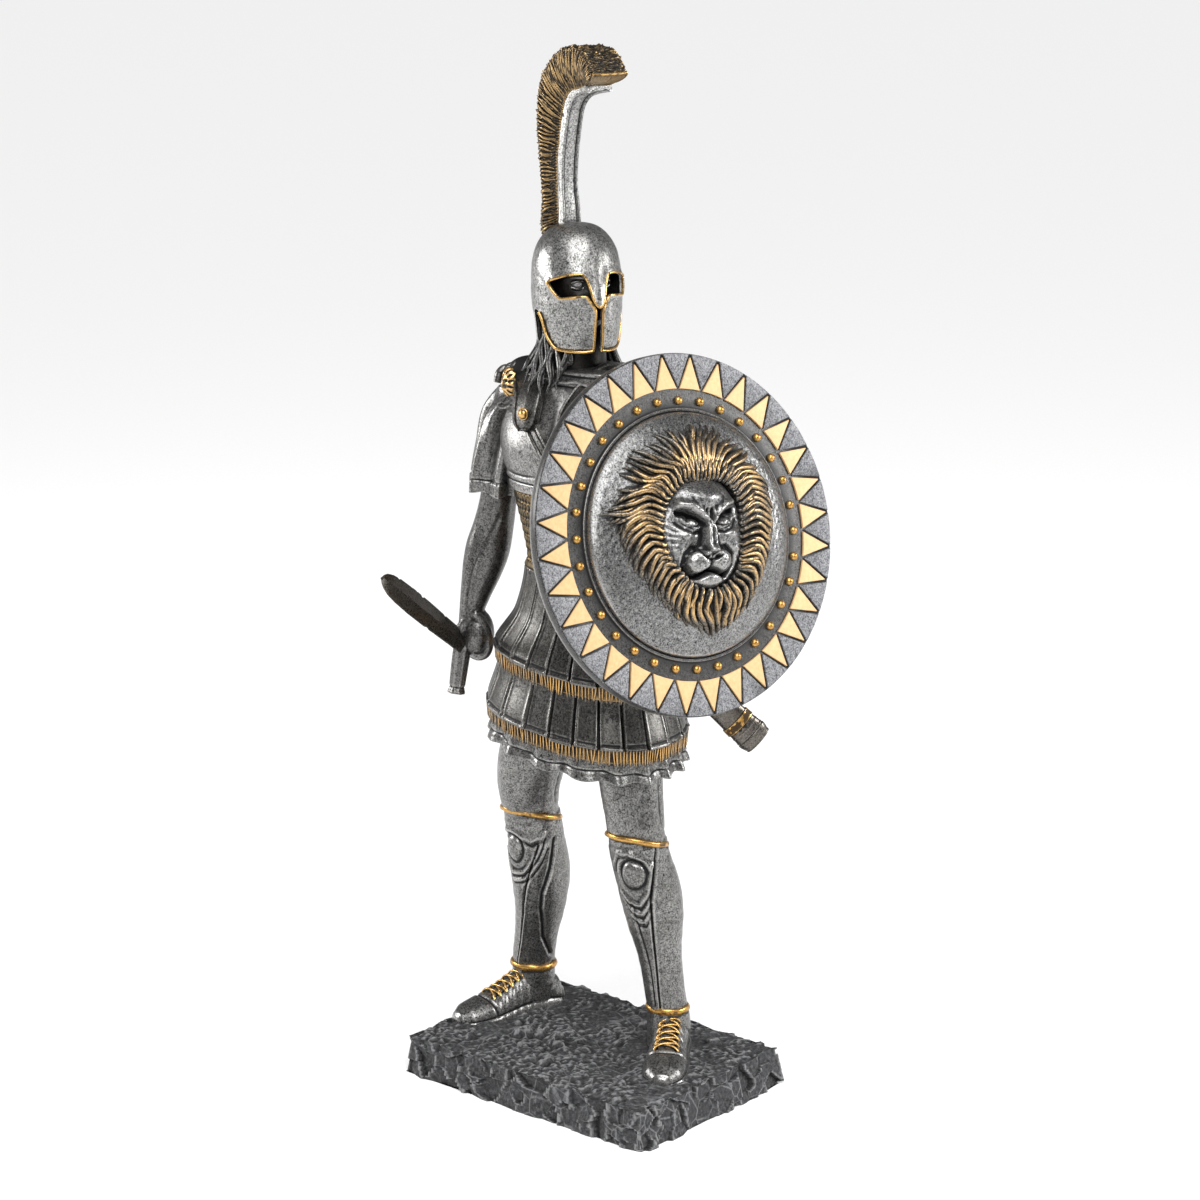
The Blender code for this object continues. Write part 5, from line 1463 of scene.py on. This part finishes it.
def makeNeckLocks():
    # locks of hair that fall from under the helmet on to the shoulders
    paths, widths = [], []
    steps = 20
    share = np.linspace(0, 1, steps)
    for layer, count, spread in ((0, 30, 10.8), (1, 26, 9.6)):
        for index in range(count):
            azimuth = math.radians(62 + (index + 0.5 * layer) * 236 / count)
            length = 22 - 5 * abs(index / (count - 1) - 0.45) + dice.normal() * 1.6
            reach = spread + (5.5 + 1.5 * dice.random()) * share ** 1.6 + 0.45 * np.sin(share * 9 + index)
            angle = azimuth + 0.1 * np.sin(share * 7 + index * 1.7)
            x = -8.4 + reach * np.cos(angle) - 0.9 * share
            y = 5.1 + reach * np.sin(angle) + 0.6 * share
            # they rest on the shoulders
            rest = 221.5 - 0.42 * np.maximum(np.abs(x + 5) - 9, 0)
            rest -= 1.6 * np.maximum(-5.5 - y, 0) + 1.2 * np.maximum(y - 13, 0)
            z = np.maximum(232 - length * share, rest + 0.7 * layer)
            paths.append(np.stack([x, y, z + soleLevel], 1))
            body = (0.6 + 0.5 * np.sin(np.pi * (0.15 + 0.7 * share))) * (1 - share ** 5 * 0.9)
            widths.append((0.8 + 0.2 * dice.random()) * body)
    paths, widths = np.array(paths), np.array(widths)
    out = unit(paths - np.array([-7.6, 4.6, 0]) * [1, 1, 0] - paths * [0, 0, 1])
    locks = strands("figureNeckLocks", paths, widths, widths, out, sides=10)
    done(locks, lockPaint, "figure", crease=75, reach=0.35)


makeFlap("figureRightShoulderFlap", -1)
makeFlap("figureLeftShoulderFlap", 1)
makeShoulderTrim()
makeNeckLocks()
print("shoulders made")


headMiddle = np.array([-8.0, 4.0, 0.0])
crestFront = heading(73.0)
crestLeft = np.array([-crestFront[1], crestFront[0], 0])
headFront = heading(65.0)
headLeft = np.array([-headFront[1], headFront[0], 0])
helmetSections = [(220.0, 13.4, 8.6, 9.8), (225.2, 14.4, 9.7, 10.6), (228.0, 15.6, 11.8, 11.9),
                  (233.0, 16.2, 12.5, 12.8), (239.0, 16.3, 14.2, 13.5), (246.0, 15.4, 15.0, 13.6),
                  (252.0, 14.0, 15.2, 13.2), (257.0, 11.9, 13.6, 11.8), (261.0, 8.6, 10.2, 8.9),
                  (263.2, 4.8, 6.4, 5.3), (263.9, 0.0, 0.0, 0.0)]
helmetTop = helmetSections[-1][0]
helmetTable = follow(helmetSections, np.linspace(0, 1, 900))
helmetEdge = [(0, 226.6), (52, 226.4), (60.5, 226.9), (67.5, 228.7), (73, 231.4), (77, 235.4), (81, 237.4),
              (91, 238.2), (100, 237.4), (106, 233.5), (114, 228), (123, 225.2), (148, 223.4), (180, 223.0)]
eyeOutline = [(-7.0, 226.6), (-5.8, 233.4), (-5.0, 238.6), (-7.4, 240.2), (-12.0, 242.0), (-17, 243.3),
              (-33, 243.0), (-48, 242.6), (-55, 243.9), (-61.5, 245.7), (-65, 247.2), (-58, 248.1),
              (-51, 248.7), (-38, 249.6), (-22, 250.0), (-15.5, 249.0), (-11.5, 246.8), (-8.0, 243.2),
              (-4.6, 241.1), (0, 240.0)]


def inHead(forward, side, z, front=headFront, left=headLeft):
    # a place by its way forwards and to the left from the head's middle line, and its height
    forward, side, z = np.broadcast_arrays(forward, side, z)
    place = headMiddle + forward[..., None] * front + side[..., None] * left
    return place + (z + soleLevel)[..., None] * upward


def onHelmet(turn, z, lift=0.0):
    # turn counts from the helmet's front towards its left, in degrees
    turn, z, lift = np.broadcast_arrays(turn, z, lift)
    angle = np.radians(turn)
    ahead, behind, half = [np.interp(z, helmetTable[:, 0], helmetTable[:, k]) for k in (1, 2, 3)]
    reach = np.where(np.cos(angle) > 0, ahead, behind)
    turned = np.abs(turn)
    scale = 1 + 0.065 * bump(turned, 0, 8) * bump(z, 243.5, 5.5)
    scale = scale - 0.045 * bump(turned, 104, 12) * (1 - smooth(233, 241, z))
    scale = scale + 0.1 * smooth(118, 150, turned) * (1 - smooth(222, 238, z))
    forward = (reach * scale + lift) * np.cos(angle)
    side = (half * scale + lift) * np.sin(angle)
    return inHead(forward, side, z)


def evenly(points, count):
    # equally spaced points along a line
    points = np.asarray(points, float)
    length = np.concatenate([[0], np.cumsum(np.linalg.norm(np.diff(points, axis=0), axis=1))])
    spots = np.linspace(0, length[-1], count)
    return np.stack([np.interp(spots, length, points[:, k]) for k in range(points.shape[1])], 1)


def rounded(line, count):
    return evenly(follow(line, np.linspace(0, 1, 40 * len(line))), count)


def insideOf(x, y, line):
    # which points lie within a closed outline
    inside = np.zeros(len(x), bool)
    for (x0, y0), (x1, y1) in zip(line, np.roll(line, -1, axis=0)):
        crosses = (y0 > y) != (y1 > y)
        inside ^= crosses & (x < (x1 - x0) * (y - y0) / (y1 - y0 + 1e-12) + x0)
    return inside


rightEye = rounded(eyeOutline, 260)
leftEye = rightEye[::-1] * [-1, 1]
wholeOpening = np.concatenate([[(-3.0, 219)], rightEye, leftEye, [(3.0, 219)]])


def makeHelmet():
    edge = np.array(helmetEdge)
    opening = wholeOpening * [0.25, 1]

    def place(across, along):
        turn = across * 360 - 180
        low = np.interp(np.abs(turn), edge[:, 0], edge[:, 1])
        z = low + (helmetTop - low) * (1 - (1 - along) ** 1.25)
        gap = nearTo(turn * 0.25, z, [tuple(p) for p in opening[1:-1:5]], 1.5)
        lift = 0.45 * gap
        # a soft keel over the nose, and a rolled edge at the neck
        lift += 0.16 * nearTo(np.abs(turn) * 0.25, z, [(0, 251), (0, 246), (0, 241)], 1.2)
        behind = smooth(96, 108, np.abs(turn))
        lift += behind * (0.45 * bump(z - low, 0.7, 0.6) - 0.25 * bump(z - low, 2.2, 0.5))
        points = np.stack([turn * 0.25, z, 0 * z], 1)
        lift += 0.05 * drift(points, 4.0, 51) * smooth(helmetTop, 262, z)
        return onHelmet(turn, z, lift * smooth(helmetTop, 263.0, z))
    shell = surface("figureHelmet", 320, 150, place)
    mesh = shell.data
    centres = np.array([polygon.center for polygon in mesh.polygons]) / millimetre
    own = centres - headMiddle
    forward, side = own @ headFront, own @ headLeft
    z = own[:, 2] - soleLevel
    ahead = np.interp(z, helmetTable[:, 0], helmetTable[:, 1])
    half = np.interp(z, helmetTable[:, 0], helmetTable[:, 3])
    turn = np.degrees(np.arctan2(side / np.maximum(half, 0.1), forward / np.maximum(ahead, 0.1)))
    hole = insideOf(turn, z, wholeOpening) & (forward > 0)
    select(shell)
    bpy.ops.object.mode_set(mode="EDIT")
    bpy.ops.mesh.select_mode(type="FACE")
    bpy.ops.mesh.select_all(action="DESELECT")
    bpy.ops.object.mode_set(mode="OBJECT")
    mesh.polygons.foreach_set("select", hole)
    bpy.ops.object.mode_set(mode="EDIT")
    bpy.ops.mesh.delete(type="FACE")
    bpy.ops.object.mode_set(mode="OBJECT")
    wall = shell.modifiers.new("wall", "SOLIDIFY")
    wall.thickness = 1.15 * millimetre
    wall.offset = -1
    bpy.ops.object.modifier_apply(modifier=wall.name)
    done(shell, helmetPewter, crease=50)
    # gold wire round the openings and along the cheeks' lower edges
    wires = []
    trim = np.concatenate([rightEye, leftEye[1:]])
    path = onHelmet(trim[:, 0], trim[:, 1], 0.35)
    out = unit((path - headMiddle) * [1, 1, 0])
    wires.append(strands("eyeWire", [path], 0.42, 0.42, out[None], sides=10))
    for hand in (-1, 1):
        line = [(hand * 7.0, 226.7), (hand * 20, 226.3), (hand * 46, 226.4), (hand * 60.5, 226.9),
                (hand * 67.5, 228.7), (hand * 73, 231.4), (hand * 77, 235.4), (hand * 82, 237.5)]
        line = rounded(line, 110)
        path = onHelmet(line[:, 0], line[:, 1], 0.45)
        out = unit((path - headMiddle) * [1, 1, 0])
        wires.append(strands("cheekWire", [path], 0.46, 0.46, out[None], sides=10))
    done(merged("figureHelmetGoldWire", wires), goldPaint, "figure", crease=80)


def makeHead():
    # a calm, plain face of even proportions, painted near black as painted shade inside the helmet
    def place(across, along):
        turn = across * fullTurn - math.pi
        polar = (along - 0.5) * math.pi
        z = 243.5 + 15.5 * np.sin(polar)
        forward = 11.6 * np.cos(turn) * np.cos(polar) + 0.4
        side = 9.9 * np.sin(turn) * np.cos(polar)
        face = smooth(2, 7, forward)
        span = np.abs(side)
        forward = forward + face * (1.9 * bump(span, 0, 1.15) * smooth(236.5, 239, z) * smooth(247.5, 241, z))
        forward = forward + face * (0.7 * bump(z, 248.6, 1.1) * bump(span, 4.0, 3.6))
        forward = forward - face * (1.2 * np.exp(-((span - 4.0) / 2.3) ** 2 - ((z - 246.2) / 1.4) ** 2))
        forward = forward + face * (0.5 * np.exp(-((span - 5.2) / 2.0) ** 2 - ((z - 241.5) / 2.0) ** 2))
        mouth = 0.7 * bump(z, 234.9, 0.6) - 0.5 * bump(z, 234.1, 0.25) + 0.7 * bump(z, 233.3, 0.65)
        forward = forward + face * np.exp(-(span / 2.9) ** 2) * mouth
        forward = forward + face * 0.8 * np.exp(-(span / 2.6) ** 2 - ((z - 230.2) / 1.6) ** 2)
        return inHead(forward, side, z)
    parts = [surface("head", 110, 90, place),
             limb("neck", [(-7.6, 4.8, 214, 9.0, 9.0), (-7.2, 4.8, 222, 8.2, 8.2), (-7.4, 4.4, 234, 7.8, 7.8),
                           (-7.6, 4.2, 240, 7.0, 7.0)], 60, 40)]
    head = merged("figureHead", parts)
    done(head, paintedShadeFacePaint)
    eyes = []
    for hand in (-1, 1):
        middle = inHead(9.55, hand * 4.1, 246.4) - np.array([0, 0, soleLevel])
        eyes.append(ball("eye", tuple(middle), (1.55, 1.55, 1.35)))
    done(merged("figureEyes", eyes), silverPaint)
    lids = []
    share = np.linspace(-1, 1, 16)
    for hand in (-1, 1):
        for sign, z0 in ((1, 247.0), (-1, 245.7)):
            path = inHead(10.95 - 0.75 * share ** 2, hand * 4.1 + 2.2 * share,
                          z0 + sign * 0.55 * (1 - share ** 2))
            lids.append(strands("lid", [path], 0.32, 0.36, headFront, sides=8))
    done(merged("figureEyelids", lids), paintedShadeFacePaint)


makeHelmet()
makeHead()
print("helmet made")


crestStations = [(-6.4, 258.0, -13.2, 253.0, 2.8, 3.8), (-5.6, 265.0, -13.0, 262.0, 3.0, 4.8),
                 (-5.6, 273.0, -11.2, 271.5, 3.0, 5.6), (-5.8, 281.0, -11.9, 282.0, 3.0, 6.0),
                 (-4.6, 289.0, -13.0, 292.0, 3.0, 6.2), (-3.0, 296.0, -12.2, 303.0, 3.0, 6.2),
                 (-1.0, 301.0, -7.0, 311.5, 3.0, 6.3), (2.6, 303.6, 1.0, 316.6, 3.1, 6.4),
                 (6.8, 304.6, 10.0, 317.2, 3.3, 6.4), (10.4, 305.4, 15.6, 313.9, 3.6, 6.4),
                 (12.6, 305.8, 19.0, 309.6, 4.0, 6.2)]
holderStations = [(-4.0, 258.0, 3.6), (-3.4, 266.0, 3.2), (-4.6, 274.0, 3.0), (-4.4, 282.0, 3.0),
                  (-2.8, 291.0, 3.0), (-0.6, 298.6, 3.0), (3.0, 302.6, 3.2), (7.4, 304.2, 3.5),
                  (11.0, 304.9, 4.0), (13.2, 305.3, 4.4)]
crestSizes = {"strandRows": 88, "strandRise": 0.46, "looseStrands": 84, "frontStrands": 30,
              "holderThick": 1.3}


def inCrest(forward, side, z):
    return inHead(forward, side, z, crestFront, crestLeft)


def crestPoint(share, t, side, lift=0.0):
    # t runs from the holder to the outer line of the hair, side from -1 to 1 across it
    row = follow(crestStations, share)
    t, side, lift = np.broadcast_arrays(t, side, lift)
    forward = row[:, 0] + (row[:, 2] - row[:, 0]) * t
    z = row[:, 1] + (row[:, 3] - row[:, 1]) * t
    half = row[:, 4] + (row[:, 5] - row[:, 4]) * t + 0.7 * np.sin(np.pi * np.clip(t, 0, 1))
    return inCrest(forward, side * (half + lift), z)


def makeCrestHair():
    luck = np.random.default_rng(91)
    rows = 560
    jag = luck.uniform(-0.025, 0.03, crestSizes["strandRows"] + 4)

    def place(across, along):
        inner, ends = inset(along, rows)
        # round the section: up one side, over the outer face, down the other side
        corners = [0, 0.03, 0.36, 0.42, 0.58, 0.64, 0.97, 1]
        t = np.interp(across, corners, [0, 0, 0.94, 1.0, 1.0, 0.94, 0, 0])
        side = np.interp(across, corners, [0, -1, -1, -0.86, 0.86, 1, 1, 0])
        wander = 0.35 * np.sin(9 * t + 14 * inner) + 0.22 * np.sin(21 * t - 40 * inner + 3 * side)
        phase = inner * crestSizes["strandRows"] + wander
        strand = np.abs(np.sin(phase * math.pi))
        ridge = strand ** 0.7
        fine = np.abs(np.sin(phase * math.pi * 2.3 + 1.1 * np.sin(6 * t)))
        onFace = smooth(0.3, 0.42, np.minimum(across, 1 - across))
        lift = crestSizes["strandRise"] * (ridge - 0.6) + 0.14 * (fine - 0.5)
        index = np.clip(np.floor(phase).astype(int), 0, len(jag) - 1)
        outer = smooth(0.55, 1.0, t)
        t = t + outer * (0.7 * jag[index] - 0.028 + 0.012 * (ridge - 0.5))
        points = np.stack([inner * 90, side * 6, t * 8], 1)
        stipple = drift(points, 1.1, 92) * 0.02 + drift(points, 0.7, 93) * 0.016
        t = t + onFace * stipple
        lift = np.where(ends, -20, lift)
        t = np.where(ends, 0.5, t)
        side = np.where(ends, 0, side)
        return crestPoint(inner, t, side, lift * (np.abs(side) > 0.5))
    hair = surface("figureCrestHair", 96, rows, place)
    done(hair, hairPaint, "figure", crease=75, reach=0.5, full=0.24)
    # loose strands laid over both sides, so that the brush is uneven
    paths, widths, outs = [], [], []
    steps = 12
    share = np.linspace(0, 1, steps)
    for hand in (-1, 1):
        for index in range(crestSizes["looseStrands"]):
            start = (index + luck.uniform(-0.4, 0.4)) / crestSizes["looseStrands"]
            slant = luck.normal() * 0.006
            root, tip = luck.uniform(0.0, 0.35), luck.uniform(0.82, 0.99)
            t = root + (tip - root) * share
            along = np.clip(start + slant * share + 0.002 * np.sin(7 * share + index), 0.002, 0.995)
            paths.append(crestPoint(along, t, hand + 0 * t, 0.22 + 0.25 * np.sin(np.pi * share)))
            widths.append(0.34 * np.sin(np.pi * (0.1 + 0.82 * share)) + 0.05)
            outs.append(np.broadcast_to(crestLeft * hand, (steps, 3)))
    # the front cut, combed down to the holder
    for index in range(crestSizes["frontStrands"]):
        across = -0.97 + 1.94 * (index + luck.uniform(-0.2, 0.2)) / (crestSizes["frontStrands"] - 1)
        t = 1.0 - 0.97 * share
        line = crestPoint(1.0 + 0 * share, t, across * (1 - 0.1 * share) - 0.05 * share)
        paths.append(line + crestFront * (0.15 + 0.25 * np.sin(np.pi * share))[:, None])
        widths.append(0.3 * np.sin(np.pi * (0.2 + 0.6 * share)))
        outs.append(np.broadcast_to(crestFront, (steps, 3)))
    loose = strands("figureCrestStrands", paths, np.array(widths), np.array(widths), np.array(outs), sides=5)
    done(loose, hairPaint, "figure", crease=80, reach=0.35, full=0.14)


def makeCrestHolder():
    rows = 150
    section = np.array([(-1, -1), (-1.0, -0.2), (-1.0, 0.6), (-0.96, 0.95), (-0.86, 1.05), (-0.76, 0.95),
                        (-0.7, 0.6), (-0.66, 0.5), (0, 0.55), (0.66, 0.5), (0.7, 0.6), (0.76, 0.95),
                        (0.86, 1.05), (0.96, 0.95), (1.0, 0.6), (1.0, -0.2), (1, -1), (-1, -1)])

    def place(across, along):
        inner, ends = inset(along, rows)
        row = follow(holderStations, inner)
        run = unit(follow(holderStations, inner + 0.01)[:, :2] - follow(holderStations, inner - 0.01)[:, :2])
        a, b = [np.where(ends, 0, values) for values in onSection(section, across)]
        thick = crestSizes["holderThick"] * b
        return inCrest(row[:, 0] + run[:, 1] * thick, a * row[:, 2], row[:, 1] - run[:, 0] * thick)
    holder = surface("figureCrestHolder", 17 * 4, rows, place)
    done(holder, helmetPewter)
    # gold line under the front cut of the hair
    share = np.linspace(-1, 1, 30)
    path = inCrest(19.2 - 0.5 * share ** 2, 6.1 * share, 309.8 + 0 * share)
    wire = bead("figureCrestGoldLine", path, 0.35, looped=False)
    done(wire, goldPaint, "figure")


makeCrestHair()
makeCrestHolder()
print("crest made")


scabbardStations = [(8.2, 10.0, 139.6, 2.2, 4.5), (16.0, 20.0, 127.6, 2.2, 4.6),
                    (24.4, 30.6, 114.4, 2.1, 4.7), (29.8, 37.4, 105.6, 2.2, 4.9),
                    (32.8, 41.2, 100.9, 2.3, 5.3), (34.3, 43.2, 98.6, 1.9, 4.5)]
swordSizes = {"azimuth": 11.2, "rise": 33.9, "base": (-45.4, -10.6, 129.2), "long": 52.6, "wide": 8.2,
              "thick": 2.6, "root": 3.5,
              "leaf": [(0.0, 0.86), (0.18, 0.9), (0.42, 0.98), (0.62, 1.0), (0.8, 0.93), (0.9, 0.8),
                       (0.96, 0.58), (0.99, 0.34), (1.0, 0.16)]}


def makeScabbard():
    def panelRelief(azimuth, z, inner):
        lift = 0.16 * (bump(inner, 0.7, 0.008) + bump(inner, 0.77, 0.008)) + 0.3 * smooth(0.785, 0.8, inner)
        return lift + 0.2 * smooth(0.95, 0.97, inner)
    body = limb("figureScabbard", scabbardStations, 72, 140, reference=(0, 0, 1), relief=panelRelief)
    done(body, bladePaint, "figure")
    rows = np.array(scabbardStations, float)
    band = follow(rows, np.linspace(0.585, 0.645, 4))
    band[:, 3:] += 0.42
    ring = limb("figureScabbardBand", band, 60, 14, reference=(0, 0, 1))
    done(ring, goldPaint, "figure")


def makeBlade():
    s = swordSizes
    course = rises(s["azimuth"], s["rise"])
    side = unit(np.cross((0, 0, 1), course))
    edge = np.cross(course, side)
    base = np.array(s["base"]) + (0, 0, soleLevel)
    leaf = np.array(s["leaf"])
    rows = 120

    def place(across, along):
        inner, ends = inset(along, rows)
        distance = -s["root"] + inner * (s["long"] + s["root"])
        size = np.interp(np.maximum(distance, 0) / s["long"], leaf[:, 0], leaf[:, 1])
        # four flats with a ridge along the middle and a thin bevel at both edges
        corner = across * 4
        corners = [0, 0.9, 1, 1.1, 2, 2.9, 3, 3.1, 4]
        u = np.interp(corner, corners, [0, 0.93, 1, 0.93, 0, -0.93, -1, -0.93, 0])
        w = np.interp(corner, corners, [1, 0.22, 0, -0.22, -1, -0.22, 0, 0.22, 1])
        u, w = np.where(ends, 0, u), np.where(ends, 0, w)
        worn = drift(np.stack([distance, 0 * distance, np.sign(u) * 9], 1), 4.0, 61)
        notch = 0.1 * np.maximum(worn - 0.9, 0)
        wide = s["wide"] / 2 * size * (1 - notch * (np.abs(u) > 0.9))
        thick = s["thick"] / 2 * (0.45 + 0.55 * size)
        return base + distance[:, None] * course + (u * wide)[:, None] * edge + (w * thick)[:, None] * side
    blade = surface("swordBlade", 64, rows, place)
    done(blade, bladePaint, "sword_blade", crease=20, reach=0.5, full=0.12)


makeScabbard()
makeBlade()
print("sword and scabbard made")


def paintedOcclusionShade():
    # how hemmed in each spot is by its neighbours, for painted shade between the forms
    allSpots, allFaces, start = [], [], 0
    spans = []
    for piece in madePieces:
        mesh = piece.data
        loops = np.empty(len(mesh.loops), int)
        mesh.loops.foreach_get("vertex_index", loops)
        sizes = np.empty(len(mesh.polygons), int)
        mesh.polygons.foreach_get("loop_total", sizes)
        ends = np.cumsum(sizes)
        allFaces += [tuple(loops[e - n:e] + start) for e, n in zip(ends.tolist(), sizes.tolist())]
        allSpots.append(spotsOf(mesh))
        spans.append((piece, start, spotsOf(mesh, "normal")))
        start += len(mesh.vertices)
    spots = np.concatenate(allSpots)
    normals = np.concatenate([own for piece, begin, own in spans])
    tree = BVHTree.FromPolygons(spots.tolist(), allFaces)
    cell = 1.2 * millimetre
    key = np.concatenate([np.floor(spots / cell), np.round(normals * 1.4)], 1).astype(np.int32)
    _, first, which = np.unique(key, axis=0, return_index=True, return_inverse=True)
    rays = 12
    luck = np.random.default_rng(17)
    fan = unit(luck.normal(size=(rays, 3)))
    shade = np.zeros(len(first))
    reach = 7.0 * millimetre
    for row, index in enumerate(first.tolist()):
        normal = normals[index]
        origin = Vector(spots[index] + normal * 0.25 * millimetre)
        blocked = 0.0
        for ray in fan:
            course = ray + normal * 1.02
            hit = tree.ray_cast(origin, Vector(course), reach)
            if hit[0] is not None:
                blocked += 1.0 - 0.6 * hit[3] / reach
        shade[row] = blocked / rays
    values = shade[which.ravel()]
    # painted shade: the occlusion is stored on each piece and darkens its paint towards black
    for piece, begin, own in spans:
        mark = piece.data.attributes.new("shelter", "FLOAT", "POINT")
        mark.data.foreach_set("value", values[begin:begin + len(own)].astype(np.float32))
    print("shelter worked out at", len(first), "spots")


paintedOcclusionShade()
